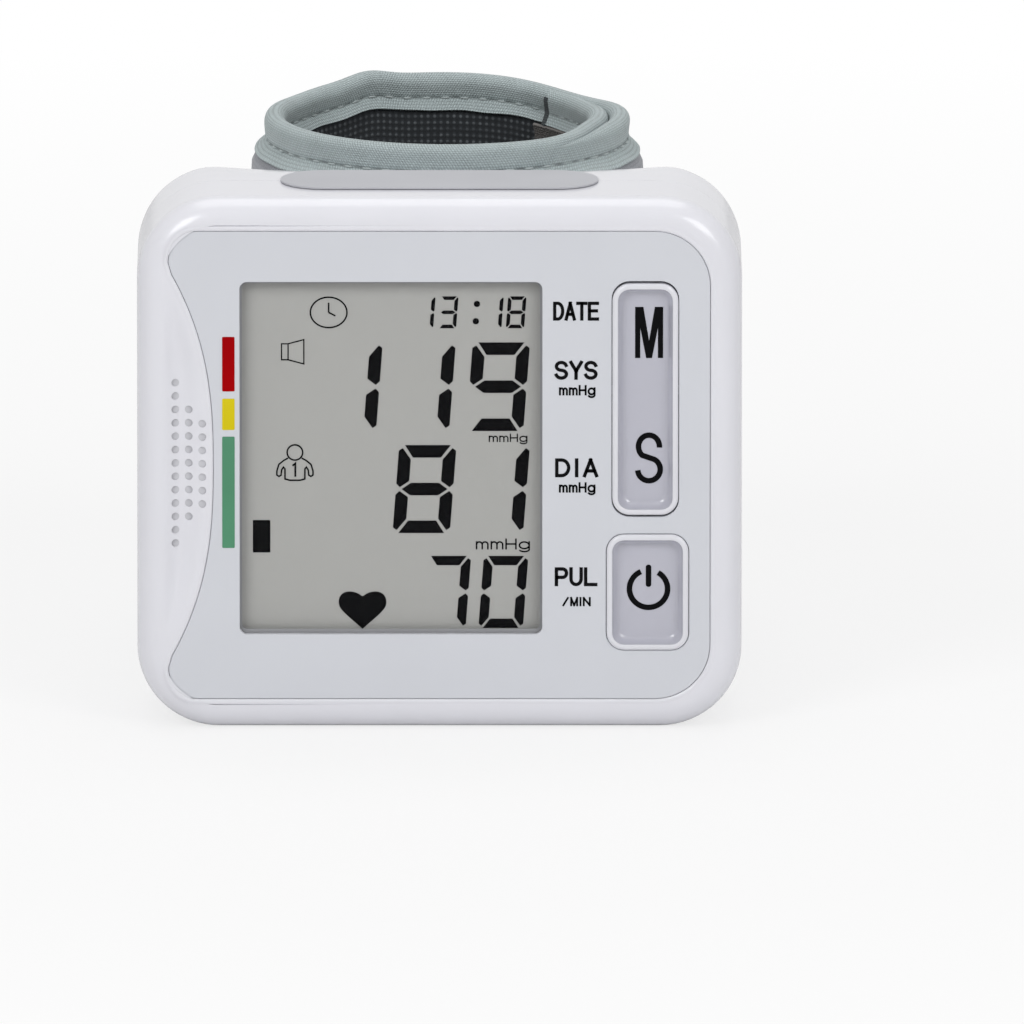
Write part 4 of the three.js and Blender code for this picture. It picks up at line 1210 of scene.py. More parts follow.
    def wall_shell(self, name: str) -> bpy.types.Object:
        """The rear half's outer wall.

        Args:
            name: the piece's name.

        Returns:
            The piece.
        """
        back = box("rear_shell")[1].y
        outer = self.rear_block(0.0, self.seam, back, name)
        combine(outer, self.rear_block(self.wall, self.seam - 1.0, back - self.wall, "hollow"), Join.CUT)
        return outer

    def door_block(self, gap: float) -> bpy.types.Object:
        """The door's opening, drawn in by a gap.

        Args:
            gap: how far it is drawn in.

        Returns:
            The block.
        """
        low, high = box("battery_door")
        grow = Vector((0.0, self.door_gap - gap, self.door_gap - gap))
        body = Solid()
        start = Vector((high.x - 2 * self.wall, low.y, low.z))
        body.block(start - grow, high + Vector((1.0, 0.0, 0.0)) + grow)
        return body.piece("door_block", Finishes.SHELL, even=False)

    def rear_shell(self) -> bpy.types.Object:
        """The rear shell, with screw wells on their bosses, the bay's walls and the door's opening.

        Returns:
            The piece.
        """
        back = box("rear_shell")[1].y
        shell = self.wall_shell("rear_case")
        screws = [box(f"case_screw_{number}") for number in range(1, 5)]
        places = [Vector(((low.x + high.x) / 2, (low.z + high.z) / 2)) for low, high in screws]
        low, high = screws[0]
        radius = (high.x - low.x) / 2 + self.screw_room
        rims = [Outline.circle(place, radius + self.boss_wall) for place in places]
        bosses = plug("bosses", rims, self.boss_start, back)
        combine(bosses, self.rear_block(0.02, self.seam, back - 0.02, "trim"), Join.OVERLAP)
        combine(shell, bosses, Join.ADD)
        cover_low, cover_high = box("bay_cover")
        bay = Solid()
        bay_end = Vector((cover_low.x + self.bay_wall, back - 1.0, cover_high.z))
        bay.block(cover_low + Vector((0.0, 0.5, 0.0)), bay_end)
        combine(shell, bay.piece("bay_wall", Finishes.SHELL, even=False), Join.ADD)
        wells = [Outline.circle(place, radius) for place in places]
        combine(shell, plug("wells", wells, high.y - self.well_depth, back + 1), Join.CUT)
        combine(shell, self.door_block(0.0), Join.CUT)
        self.dip_top(shell)
        shade_edges(shell)
        return shell

    def door(self) -> bpy.types.Object:
        """The battery door, cut from the same wall, with thumb grooves.

        Returns:
            The piece.
        """
        low, high = box("battery_door")
        door = self.wall_shell("bay_door")
        combine(door, self.door_block(self.door_gap), Join.OVERLAP)
        grooves, half = Solid(), self.groove_pitch / 4
        start, end = self.groove_ends
        for row in (-1, 0, 1):
            height = self.face.middle + row * self.groove_pitch
            corner = Vector((high.x - self.groove_depth, low.y + start, height - half))
            grooves.block(corner, Vector((high.x + 1, low.y + end, height + half)))
        combine(door, grooves.piece("grooves", Finishes.SHELL, even=False), Join.CUT)
        shade_edges(door)
        return door


@dataclass
class Marks:
    """Flat printed shapes on a plane that faces the viewer, gathered into one piece."""

    depth: float
    thickness: float = 0.03
    surface: Callable[[Vector], float] | None = None

    def __post_init__(self) -> None:
        """Starts with an empty mesh."""
        self.mesh = bmesh.new()

    def place(self, point: Vector) -> Vector:
        """A point of the plane, or of the surface if there is one, in metres in space."""
        depth = self.surface(point) if self.surface else self.depth
        return Vector((point.x, depth, point.y)) * MM

    def shape(self, points: Sequence[Vector]) -> None:
        """Fills a closed shape, anticlockwise."""
        self.mesh.faces.new([self.mesh.verts.new(self.place(point)) for point in points])

    def box(self, low: Vector, high: Vector, corner: float = 0.0) -> None:
        """Fills a rectangle, with round corners if asked.

        Args:
            low: its lower left corner.
            high: its upper right corner.
            corner: radius of its corners.
        """
        if corner:
            self.shape(Outline.rounded(low, high, corner, (5, 5)).points)
        else:
            self.shape([low, Vector((high.x, low.y)), high, Vector((low.x, high.y))])

    def disc(self, centre: Vector, radius: float) -> None:
        """Fills a circle."""
        self.shape(arc(centre, Vector((radius, radius)), 0, 360, 28))

    def stroke(self, points: Sequence[Vector], width: float, closed: bool = False) -> None:
        """Draws a line of even width with mitred turns.

        Args:
            points: the line's middle.
            width: of the stroke.
            closed: whether its end joins its start.
        """
        count = len(points)
        pairs = []
        for index, point in enumerate(points):
            before = point - points[index - 1] if closed or index else points[1] - point
            after = points[(index + 1) % count] - point if closed or index < count - 1 else before
            first, second = (Vector((way.y, -way.x)).normalized() for way in (before, after))
            out = (first + second) * (width / 2 / (1 + first.dot(second)))
            pairs.append([self.mesh.verts.new(self.place(point + side)) for side in (out, -out)])
        following = pairs[1:] + pairs[:1] if closed else pairs[1:]
        for (right, left), (next_right, next_left) in zip(pairs, following):
            self.mesh.faces.new((right, next_right, next_left, left))

    def piece(self, name: str, finish: Finish) -> bpy.types.Object:
        """Gives the marks their thickness and makes one piece of them.

        Args:
            name: the piece's name.
            finish: what it is printed with.

        Returns:
            The piece.
        """
        bmesh.ops.triangulate(self.mesh, faces=self.mesh.faces)
        bmesh.ops.recalc_face_normals(self.mesh, faces=self.mesh.faces)
        for face in self.mesh.faces:
            if face.normal.y > 0:
                face.normal_flip()
        grown = bmesh.ops.extrude_face_region(self.mesh, geom=self.mesh.faces[:])["geom"]
        raised = [item for item in grown if isinstance(item, bmesh.types.BMVert)]
        bmesh.ops.translate(self.mesh, verts=raised, vec=Vector((0, -self.thickness * MM, 0)))
        return finish_mesh(self.mesh, name, [finish], even=False)


@dataclass(frozen=True)
class Word:
    """A word in plain letters of even stroke.

    Args:
        text: what it says.
        centre: of its box.
        size: width of the word and height of its capitals.
        stroke: width of a stroke.
        gap: between letters, in letter widths.
    """

    text: str
    centre: Vector
    size: Vector
    stroke: float
    gap: float

    WIDTHS = {"I": 0.0, "m": 1.15, "/": 0.75}

    def draw(self, marks: Marks) -> None:
        """Draws each letter in its place.

        Args:
            marks: takes the shapes.
        """
        widths = [self.WIDTHS.get(letter, 1.0) for letter in self.text]
        inner = self.size - Vector((self.stroke, self.stroke))
        bold = self.stroke * len(widths) / inner.x
        gap = self.gap + bold * sum(widths) / len(widths)
        unit = inner.x / (sum(widths) + gap * (len(widths) - 1))
        left = self.centre.x - inner.x / 2
        for letter, width in zip(self.text, widths):
            corner, scale = Vector((left, self.centre.y - inner.y / 2)), Vector((width * unit, inner.y))
            for points in self.strokes(letter):
                places, closed = [corner + point * scale for point in points], points[0] == points[-1]
                marks.stroke(places[:-1] if closed else self.lengthened(places), self.stroke, closed)
            left += (width + gap) * unit

    def lengthened(self, places: Sequence[Vector]) -> list[Vector]:
        """A line that runs on by half a stroke at both ends.

        Args:
            places: the line's points.

        Returns:
            The longer line's points.
        """
        half = self.stroke / 2
        first = places[0] + (places[0] - places[1]).normalized() * half
        last = places[-1] + (places[-1] - places[-2]).normalized() * half
        return [first, *places[1:-1], last]

    @staticmethod
    def strokes(letter: str) -> list[list[Vector]]:
        """Gives the strokes of a letter one wide and one high; a closed stroke ends at its start.

        Args:
            letter: one of those on the monitor.

        Returns:
            The points of each stroke.
        """
        def path(*points: tuple[float, float]) -> list[Vector]:
            """Points as a list of vectors."""
            return [Vector(point) for point in points]

        def bow(across: float, up: float, wide: float, high: float, start: float, end: float) -> list[Vector]:
            """Part of an oval, with its last point."""
            centre, radius = Vector((across, up)), Vector((wide, high))
            return arc(centre, radius, start, end, 14) + arc(centre, radius, end, end, 1)

        bowl = bow(0.5, 0.36, 0.5, 0.36, 0, 336)
        stem, stems = path((0, 0), (0, 1)), [path((0, 0), (0, 1)), path((1, 0), (1, 1))]
        shapes = {
            "D": [stem + bow(0.4, 0.5, 0.6, 0.5, 90, -90) + stem[:1]],
            "A": [path((0, 0), (0.5, 1)), path((1, 0), (0.5, 1)), path((0.2, 0.3), (0.8, 0.3))],
            "T": [path((0, 1), (1, 1)), path((0.5, 1), (0.5, 0))],
            "E": [path((1, 1), (0, 1), (0, 0), (1, 0)), path((0, 0.52), (0.88, 0.52))],
            "S": [bow(0.5, 0.75, 0.48, 0.25, 15, 262) + bow(0.5, 0.25, 0.5, 0.25, 82, -165)],
            "Y": [path((0, 1), (0.5, 0.45)), path((1, 1), (0.5, 0.45)), path((0.5, 0.5), (0.5, 0))],
            "I": [stem],
            "P": [stem + bow(0.6, 0.73, 0.4, 0.27, 90, -90) + path((0, 0.46))],
            "U": [path((0, 1)) + bow(0.5, 0.36, 0.5, 0.36, 180, 360) + path((1, 1))],
            "L": [path((0, 1), (0, 0), (1, 0))],
            "M": stems + [path((0, 1), (0.5, 0)), path((1, 1), (0.5, 0))],
            "N": stems + [path((0, 1), (1, 0))],
            "H": stems + [path((0, 0.5), (1, 0.5))],
            "m": [path((0, 0), (0, 0.72)), bow(0.25, 0.44, 0.25, 0.28, 180, 0) + path((0.5, 0)),
                  bow(0.75, 0.44, 0.25, 0.28, 180, 0) + path((1, 0))],
            "g": [bowl + bowl[:1], path((1, 0.72)) + bow(0.5, -0.08, 0.5, 0.24, 0, -150)],
            "/": [path((0, 0), (1, 1))],
        }
        return shapes[letter]


@dataclass
class FacePanel:
    """The bluish plate let into the front, with its print."""

    face: FaceLayout
    top: float = 0.1
    thickness: float = 0.6
    edge: float = 0.12
    key_gap: float = 0.06
    bar_sides: tuple[float, float] = (-27.3, -25.73)
    red: tuple[float, float] = (43.5, 50.5)
    yellow: tuple[float, float] = (38.55, 42.57)
    green: tuple[float, float] = (23.4, 37.7)

    LABELS = (
        Word("DATE", Vector((17.14, 53.8)), Vector((5.77, 2.42)), 0.41, 0.14),
        Word("SYS", Vector((17.15, 46.22)), Vector((5.42, 2.43)), 0.43, 0.18),
        Word("DIA", Vector((17.23, 33.7)), Vector((5.42, 2.43)), 0.43, 0.5),
        Word("PUL", Vector((17.17, 19.7)), Vector((5.38, 2.43)), 0.43, 0.18),
        Word("mmHg", Vector((17.3, 43.66)), Vector((4.6, 1.33)), 0.25, 0.22),
        Word("mmHg", Vector((17.3, 31.18)), Vector((4.6, 1.33)), 0.25, 0.22),
        Word("/MIN", Vector((17.23, 16.5)), Vector((3.57, 1.18)), 0.24, 0.35),
    )

    def build(self) -> None:
        """Builds the plate and everything printed on it."""
        settle(self.plate(), "housing", "panel_plastic", "front_panel")
        depth = self.face.front + self.top
        words = Marks(depth)
        for word in self.LABELS:
            word.draw(words)
        settle(words.piece("panel_words", Finishes.PRINT), "housing", "panel_plastic")
        left, right = self.bar_sides
        bars = (("red_bar", self.red, Finishes.RED), ("yellow_bar", self.yellow, Finishes.YELLOW),
                ("green_bar", self.green, Finishes.GREEN))
        for name, (low, high), finish in bars:
            bar = Marks(depth)
            bar.box(Vector((left, low)), Vector((right, high)), 0.15)
            settle(bar.piece(name, finish), "housing", "panel_plastic")

    def plate(self) -> bpy.types.Object:
        """The plate with softened edges and its three openings.

        Returns:
            The piece.
        """
        top, edge, gap = self.face.front + self.top, self.edge, self.key_gap
        profile = [(edge, top), (edge * 0.3, top + edge * 0.3), (0.0, top + edge)]
        profile.append((0.0, top + self.thickness))
        openings = ((self.face.window, 0.0), (self.face.rocker_opening, gap), (self.face.power, gap))
        sides = [self.face.panel.rings([(-grow, depth) for grow, depth in profile])]
        for outline, room in openings:
            sides.append(outline.rings([(room + grow, depth) for grow, depth in profile]))
        body = Solid()
        for ends in body.tunnels(sides):
            body.cap(*ends)
        return body.piece("face_panel", Finishes.PANEL)


class Segment(Enum):
    """The strokes of a seven-segment digit, as which digits light them."""

    TOP = "02356789"
    UPPER_RIGHT = "01234789"
    LOWER_RIGHT = "013456789"
    BOTTOM = "0235689"
    LOWER_LEFT = "0268"
    UPPER_LEFT = "045689"
    MIDDLE = "2345689"


@dataclass(frozen=True)
class DigitRow:
    """A row of slanted seven-segment digits.

    Args:
        digits: text of the row, a space for an empty place.
        low: height of the row's foot.
        high: height of its top.
        rights: the right end of each digit at its top.
        width: of a digit without its slant.
        stroke: width of a segment.
    """

    digits: str
    low: float
    high: float
    rights: tuple[float, ...]
    width: float
    stroke: float
    gap: float = 0.2
    slant: float = 0.075

    def draw(self, marks: Marks) -> None:
        """Draws every lit segment of the row.

        Args:
            marks: takes the shapes.
        """
        for digit, right in zip(self.digits, self.rights):
            for segment, points in self.segments().items():
                if digit in segment.value:
                    marks.shape([self.lean(point, right) for point in points])

    def lean(self, point: Vector, right: float) -> Vector:
        """The slanted place of a point of the upright digit whose top ends at the given right side."""
        across = right - self.width + point.x - self.slant * (self.high - self.low - point.y)
        return Vector((across, self.low + point.y))

    def segments(self) -> dict[Segment, list[Vector]]:
        """The outline of each segment of an upright digit that starts at 0, 0.

        Returns:
            The points of each segment.
        """
        width, height, stroke = self.width, self.high - self.low, self.stroke
        gap = self.gap * stroke / 1.6 + 0.04
        half, nib = height / 2, stroke * 0.3
        upper = [(0, height - gap - nib), (0, half + nib + gap), (nib, half + gap),
                 (stroke, half + stroke / 2 + gap), (stroke, height - stroke - gap),
                 (nib, height - gap - nib * 0.3)]
        top = [(gap + nib, height), (stroke + gap, height - stroke), (width - stroke - gap, height - stroke),
               (width - gap - nib, height)]
        near, far = stroke + gap, width - stroke - gap
        middle = [(nib + gap, half), (near, half - stroke / 2), (far, half - stroke / 2),
                  (width - nib - gap, half), (far, half + stroke / 2), (near, half + stroke / 2)]

        def across(points: list[tuple[float, float]]) -> list[tuple[float, float]]:
            """The shape mirrored from left to right."""
            return [(width - x, y) for x, y in reversed(points)]

        def over(points: list[tuple[float, float]]) -> list[tuple[float, float]]:
            """The shape mirrored from top to bottom."""
            return [(x, height - y) for x, y in reversed(points)]

        shapes = {
            Segment.TOP: top,
            Segment.BOTTOM: over(top),
            Segment.UPPER_LEFT: upper,
            Segment.LOWER_LEFT: over(upper),
            Segment.UPPER_RIGHT: across(upper),
            Segment.LOWER_RIGHT: across(over(upper)),
            Segment.MIDDLE: middle,
        }
        return {segment: [Vector(point) for point in points] for segment, points in shapes.items()}


@dataclass
class Display:
    """The display under its window: segments, signs, clear window and a grey frame of painted shade along its
    edge.
    """

    face: FaceLayout
    edge_shade_height: float = 0.05
    line: float = 0.2
    clock: Vector = Vector((-13.92, 53.24))
    clock_size: Vector = Vector((2.3, 1.95))
    person: Vector = Vector((-18.17, 33.0))
    heart: Vector = Vector((-9.68, 14.98))
    heart_size: Vector = Vector((6.0, 4.78))
    bar: tuple[Vector, Vector] = (Vector((-23.47, 22.41)), Vector((-21.27, 26.58)))
    colon: tuple[Vector, Vector] = (Vector((4.56, 52.11)), Vector((4.7, 54.33)))

    ROWS = (
        DigitRow("1318", 51.21, 55.3, (-0.49, 2.39, 8.08, 10.93), 2.3, 0.46),
        DigitRow("119", 38.02, 49.39, (-7.12, 2.06, 11.38), 7.2, 1.6),
        DigitRow("81", 24.91, 36.21, (2.14, 11.37), 7.2, 1.6),
        DigitRow("70", 12.7, 21.97, (3.98, 11.18), 5.6, 1.2),
    )
    UNITS = (
        Word("mmHg", Vector((8.62, 37.14)), Vector((4.87, 1.07)), 0.16, 0.22),
        Word("mmHg", Vector((7.97, 23.5)), Vector((6.82, 1.4)), 0.2, 0.22),
    )
    SLEEVE = ((-0.85, 1.54), (-1.39, 1.25), (-2.02, 0.73), (-2.27, -0.11), (-2.27, -0.63), (-2.02, -0.81),
              (-1.74, -0.66), (-1.67, 0.01), (-1.44, 0.37), (-1.25, 0.14), (-1.25, -1.14), (-0.65, -1.31))
    NUMBER = ((-0.3, 0.55), (0.05, 0.85), (0.05, -0.85))
    HEART = (((0.0, 0.37), (0.165, 0.57), (0.5, 0.57), (0.5, 0.22)),
             ((0.5, 0.22), (0.5, 0.02), (0.36, -0.09), (0.0, -0.5)))

    def build(self) -> None:
        """Dresses the glass and the window and adds what they show."""
        dress(Finishes.LCD, "lcd_glass")
        dress(Finishes.CLEAR, "display_window")
        marks = Marks(box("lcd_glass")[0].y)
        for row in self.ROWS:
            row.draw(marks)
        self.signs(marks)
        settle(marks.piece("display_marks", Finishes.SEGMENT), "housing", "lcd")
        # The grey frame paints the shade along the window's edge.
        settle(self.edge_shade_frame(), "housing", "dark_plastic")

    def signs(self, marks: Marks) -> None:
        """Draws the colon, the units and the small signs.

        Args:
            marks: takes the shapes.
        """
        for dot in self.colon:
            marks.disc(dot, 0.4)
        for word in self.UNITS:
            word.draw(marks)
        marks.stroke(arc(self.clock, self.clock_size, 0, 360, 40), self.line, closed=True)
        marks.stroke([self.clock, self.clock + Vector((0.0, 1.25))], self.line)
        marks.stroke([self.clock, self.clock + Vector((0.85, -0.45))], self.line)
        self.speaker_sign(marks)
        self.person_sign(marks)
        marks.box(*self.bar, 0.1)
        right = [point for knots in self.HEART for point in interpolate_bezier(*map(Vector, knots), 16)[:-1]]
        left = [Vector((-point.x, point.y)) for point in reversed(right[1:])]
        outline = [*right, Vector(self.HEART[-1][-1]), *left]
        marks.shape([self.heart + point * self.heart_size for point in reversed(outline)])

    def speaker_sign(self, marks: Marks) -> None:
        """An outlined loudspeaker.

        Args:
            marks: takes the shapes.
        """
        left, throat, right = -19.84, -19.02, -17.04
        box_low, box_high, horn_low, horn_high = 47.17, 49.21, 46.63, 49.75
        horn = [(left, box_low), (throat, box_low), (right, horn_low),
                (right, horn_high), (throat, box_high), (left, box_high)]
        marks.stroke([Vector(point) for point in horn], self.line * 0.8, closed=True)
        marks.stroke([Vector((throat, box_low)), Vector((throat, box_high))], self.line * 0.8)

    def person_sign(self, marks: Marks) -> None:
        """A head and shoulders with the user's number.

        Args:
            marks: takes the shapes.
        """
        head = arc(self.person + Vector((0, 2.26)), Vector((0.98, 0.98)), 0, 360, 24)
        marks.stroke(head, self.line, closed=True)
        left = [self.person + Vector(point) for point in self.SLEEVE]
        right = [self.person + Vector((-x, y)) for x, y in reversed(self.SLEEVE)]
        marks.stroke(left + right, self.line)
        marks.stroke([self.person + Vector(point) for point in self.NUMBER], self.line * 1.2)

    def edge_shade_frame(self) -> bpy.types.Object:
        """A thin grey frame on the window, inside the panel's opening, that paints the shade along the
        window's recessed edge.

        Returns:
            The piece.
        """
        window = box("display_window")[0].y
        foot, top = (0.0, window - 0.01), (0.0, window - self.edge_shade_height)
        body = Solid()
        body.sleeve(self.face.window.rings([foot, top]) + self.face.window_clear.rings([top, foot]))
        return body.piece("window_edge_shade", Finishes.WINDOW_EDGE_SHADE, even=False)


@dataclass
class Key:
    """A key: a rounded rim round a glossy dish with printed signs."""

    name: str
    face: FaceLayout
    outline: Outline
    body: str
    nodes: tuple[str, str]
    rim: float = 0.74
    rise: float = 0.3
    rim_round: float = 0.4
    depth: float = 2.0
    sink: float = 0.2
    bowl: float = 1.2
    bowl_wall: float = 1.0
    bowl_rings: int = 12
    ink: float = 0.02

    def __post_init__(self) -> None:
        """Finds the dish's middle and half size."""
        points = self.outline.points
        low = Vector((min(point.x for point in points), min(point.y for point in points)))
        high = Vector((max(point.x for point in points), max(point.y for point in points)))
        self.centre = (low + high) / 2
        self.half = (high - low) / 2 - Vector((self.rim, self.rim))
        self.top = self.face.front - self.rise
        self.brim = self.top + self.sink

    def build(self, signs: Callable[[Marks], None]) -> None:
        """Builds the rim, the dish and the signs that a function draws.

        Args:
            signs: draws the signs.
        """
        cap, lens = self.nodes
        settle(self.rim_piece(), self.body, "key_plastic", cap)
        settle(self.dish_piece(), self.body, "clear_plastic", lens)
        marks = Marks(0.0, self.ink, self.dish_depth)
        signs(marks)
        settle(marks.piece(f"{self.name}_sign", Finishes.KEY_PRINT), self.body, "key_plastic")

    def dish_depth(self, point: Vector) -> float:
        """How deep the dish's surface lies at a point, along Y."""
        inset = min(half - abs(away) for half, away in zip(self.half, point - self.centre))
        return self.brim + self.bowl * self.bowl_share(inset / self.bowl_wall)

    @staticmethod
    def bowl_share(share: float) -> float:
        """The dish's depth from its edge, 0, to the foot of its wall, 1."""
        return 1 - (1 - min(max(share, 0.0), 1.0)) ** 2.2

    def rim_piece(self) -> bpy.types.Object:
        """The rim: rounded outside, with a small inner edge.

        Returns:
            The piece.
        """
        top, foot = self.top, self.top + self.depth
        profile = [(0.0, foot), (0.0, top + self.rim_round)]
        profile += rounding(self.rim_round, 0.0, top + self.rim_round, 5)
        inner = [(0.15, top), (0.05, top + 0.05), (0.0, top + 0.15), (0.0, foot)]
        profile += [(self.rim - inset, depth) for inset, depth in inner]
        body = Solid()
        body.sleeve(self.outline.rings([(-inset, depth) for inset, depth in profile]))
        return body.piece(f"{self.name}_rim", Finishes.KEY_RIM)

    def dish_piece(self) -> bpy.types.Object:
        """The dish: a bowl that sinks from the rim towards the key's middle line.

        Returns:
            The piece.
        """
        edge = self.outline.moved_out(-self.rim)
        rings = self.outline.rings([(-self.rim, self.brim + self.bowl + 0.4), (-self.rim, self.brim)])
        for step in range(1, self.bowl_rings + 1):
            share = step / self.bowl_rings
            inset = self.bowl_wall * share
            shrink = Vector((1 - inset / self.half.x, 1 - inset / self.half.y))
            places = [self.centre + (point - self.centre) * shrink for point in edge]
            depth = self.brim + self.bowl * self.bowl_share(share)
            rings.append([Vector((place.x, depth, place.y)) for place in places])
        body = Solid()
        body.close(rings)
        return body.piece(f"{self.name}_dish", Finishes.KEY_DISH, smooth=50.0)


@dataclass
class KeySigns:
    """The printed signs: two letters on the long key, and the power sign."""

    stroke: float = 0.7
    memory: Vector = Vector((26.32, 50.86))
    setting: Vector = Vector((26.32, 34.75))
    setting_half: Vector = Vector((1.42, 2.93))
    power: Vector = Vector((26.28, 17.94))
    power_radius: float = 2.4
    power_gap: float = 23.5
    power_bar: tuple[float, float] = (18.18, 21.04)

    M_SHAPE = ((-1.76, -3.28), (-1.11, -3.28), (-1.11, 0.6), (-0.37, -3.28), (0.37, -3.28), (1.11, 0.6),
               (1.11, -3.28), (1.76, -3.28), (1.76, 3.28), (0.72, 3.28), (0.0, -1.07), (-0.72, 3.28),
               (-1.76, 3.28))

    def rocker(self, marks: Marks) -> None:
        """The letters M and S.

        Args:
            marks: takes the shapes.
        """
        marks.shape([self.memory + Vector(point) for point in self.M_SHAPE])
        wide, tall = self.setting_half
        upper = arc(self.setting + Vector((0, tall / 2)), Vector((wide * 0.93, tall / 2)), -5, 240, 26)
        lower = arc(self.setting - Vector((0, tall / 2)), Vector((wide, tall / 2)), 60, -185, 26)
        marks.stroke(upper + lower, self.stroke)

    def power_sign(self, marks: Marks) -> None:
        """A ring open at its top, with a round-ended bar.

        Args:
            marks: takes the shapes.
        """
        radius = Vector((self.power_radius, self.power_radius))
        ring = arc(self.power, radius, 90 + self.power_gap, 450 - self.power_gap, 48)
        low, high = self.power_bar
        half = Vector((self.stroke / 2, 0))
        top = Vector((self.power.x, high - half.x))
        foot = Vector((self.power.x, low + half.x))
        marks.stroke(ring, self.stroke)
        marks.box(foot - half - Vector((0, half.x)), top + half + Vector((0, half.x)), half.x * 0.9)


def dress(finish: Finish, *nodes: str) -> None:
    """Gives CAD nodes that show as they are a finer material.

    Args:
        finish: the finer material.
        nodes: names of the nodes.
    """
    for name in nodes:
        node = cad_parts[name]
        for slot in node.material_slots:
            slot.material = finish.material()
        log.info("%s dressed", name)


class Works:
    """The CAD pieces inside the housing and its screws, which keep their shape."""

    GROUPS = (
        (Finishes.LABEL, ("top_label",)),
        (Finishes.INNER, ("lcd_holder", "bay_cover", "cuff_plate", "air_tee")),
        (Finishes.BOARD, ("main_board",)),
        (Finishes.DARK, ("zebra_strip", "processor_chip", "memory_switch", "set_switch", "power_switch",
                         "memory_plunger", "set_plunger", "power_plunger", "speaker", "pressure_sensor",
                         "pump_head")),
        (Finishes.STEEL, ("rocker_pin", "pump_motor", "pump_crank", "valve_body", "contact_link",
                          "contact_tab_plus", "contact_tab_minus", "contact_spring_1", "contact_spring_2",
                          "case_screw_1", "case_screw_2", "case_screw_3", "case_screw_4", "plate_screw_1",
                          "plate_screw_2")),
        (Finishes.BRASS, ("valve_plunger",)),
        (Finishes.TUBE, ("pump_hose", "valve_hose", "sensor_hose", "cuff_hose")),
        (Finishes.CELL, ("battery_cell_1", "battery_cell_2")),
    )

    def build(self) -> None:
        """Dresses every group."""
        for finish, nodes in self.GROUPS:
            dress(finish, *nodes)


def lay_cloth(name: str, steps: tuple[int, int], place: Callable[[float, float], Vector], size: Vector,
              thickness: float, finish: Finish) -> bpy.types.Object:
    """Lays a rectangular piece of cloth over a surface.

    Args:
        name: the piece's name.
        steps: how many steps along and across.
        place: gives the place in millimetres for a share along and a share across, each from 0 to 1.
        size: the cloth's length and width in millimetres, for its UV map.
        thickness: of the cloth, half of it on each side.
        finish: what it is made of.

    Returns:
        The piece, with its thickness in its mesh.
    """
    mesh = bmesh.new()
    layer = mesh.loops.layers.uv.new("UVMap")
    bmesh.ops.create_grid(mesh, x_segments=steps[0], y_segments=steps[1], size=1.0)
    shares = {vertex: ((vertex.co.x + 1) / 2, (vertex.co.y + 1) / 2) for vertex in mesh.verts}
    for face in mesh.faces:
        for corner in face.loops:
            along, across = shares[corner.vert]
            corner[layer].uv = (along * size.x, across * size.y)
    for vertex, (along, across) in shares.items():
        vertex.co = place(along, across) * MM
    piece = finish_mesh(mesh, name, [finish], smooth=180.0, even=False)
    wall = piece.modifiers.new("thickness", "SOLIDIFY")
    wall.thickness = thickness * MM
    wall.offset = 0.0
    apply_modifiers(piece)
    shade_edges(piece, 60.0)
    return piece


@dataclass(frozen=True)
class Loop:
    """The line that the cuff follows, seen from above, in millimetres and degrees."""

    centre: Vector = Vector((1.0, 40.1))
    half: Vector = Vector((21.85, 21.25))
    height: float = 68.2
    fold: float = 114.0
    tuck: float = 2.75
    ease: tuple[float, float] = (300.0, 342.0)
    swells: tuple[tuple[float, float, float], ...] = (
        (0.8, 117.0, 9.0), (0.2, 85.0, 35.0), (0.5, 100.0, 50.0), (-0.9, 40.0, 22.0), (-0.3, 150.0, 14.0))

    def point(self, angle: float, out: float, height: float) -> Vector:
        """The place at an angle, a distance outside the line and a height."""
        reach, turn = self.half + Vector((out, out)), math.radians(angle)
        return Vector((*(self.centre + reach * Vector((math.cos(turn), math.sin(turn)))), height))

    def lift(self, angle: float) -> float:
        """How far the upper rim stands above its even height."""
        place = angle % 360
        return sum(rise * math.exp(-((place - middle) / width) ** 2) for rise, middle, width in self.swells)


@dataclass(frozen=True)
class Run:
    """One length of the cuff, from the fold at the back to its free end."""

    loop: Loop
    name: str
    end: float
    tucked: bool
    roll: float = 1.15
    thin_from: float = 374.0
    thin_to: float = 408.0

    @property
    def length(self) -> float:
        """Length along the line."""
        return math.radians(abs(self.end - self.loop.fold)) * (self.loop.half.x + self.loop.half.y) / 2

    def angle(self, share: float) -> float:
        """The angle at a share of the length."""
        return self.loop.fold + (self.end - self.loop.fold) * share

    def parting(self, share: float) -> float:
        """How far the strap and the tab have parted: 0 where they are one band, 1 where both are full."""
        angle = self.angle(share)
        return smooth_step(*self.loop.ease, angle if self.tucked else angle + 360)

    def flatness(self, share: float) -> float:
        """1 where the run lies flat under the strap, 0 where it is padded."""
        return self.parting(share) if self.tucked else 0.0

    def point(self, share: float, out: float, height: float, rest: float, under: float) -> Vector:
        """A point on the run; the upper rim rises and falls a little.

        The strap thins out where it lies on the band, and the tab flattens against the strap towards its end.

        Args:
            share: of the run's length.
            out: distance outside the line.
            height: above the cuff's foot.
            rest: where the strap's thin end lies on the band.
            under: where the tab's flat end lies against the strap.

        Returns:
            The place in millimetres.
        """
        angle, parted, top = self.angle(share), self.parting(share), self.loop.height
        if self.tucked:
            flat = smooth_step(self.thin_from, self.thin_to, angle)
            out = (out - self.loop.tuck * parted) * (1 - flat) + under * flat
        else:
            out = rest + (out - rest) * parted
            draw_in = max(self.roll - min(height, top - height), 0.0) * (1 - parted)
            height += draw_in if height < top / 2 else -draw_in
        rise = self.loop.lift(angle) * (height / top) ** 3
        return self.loop.point(angle, out, height + rise)


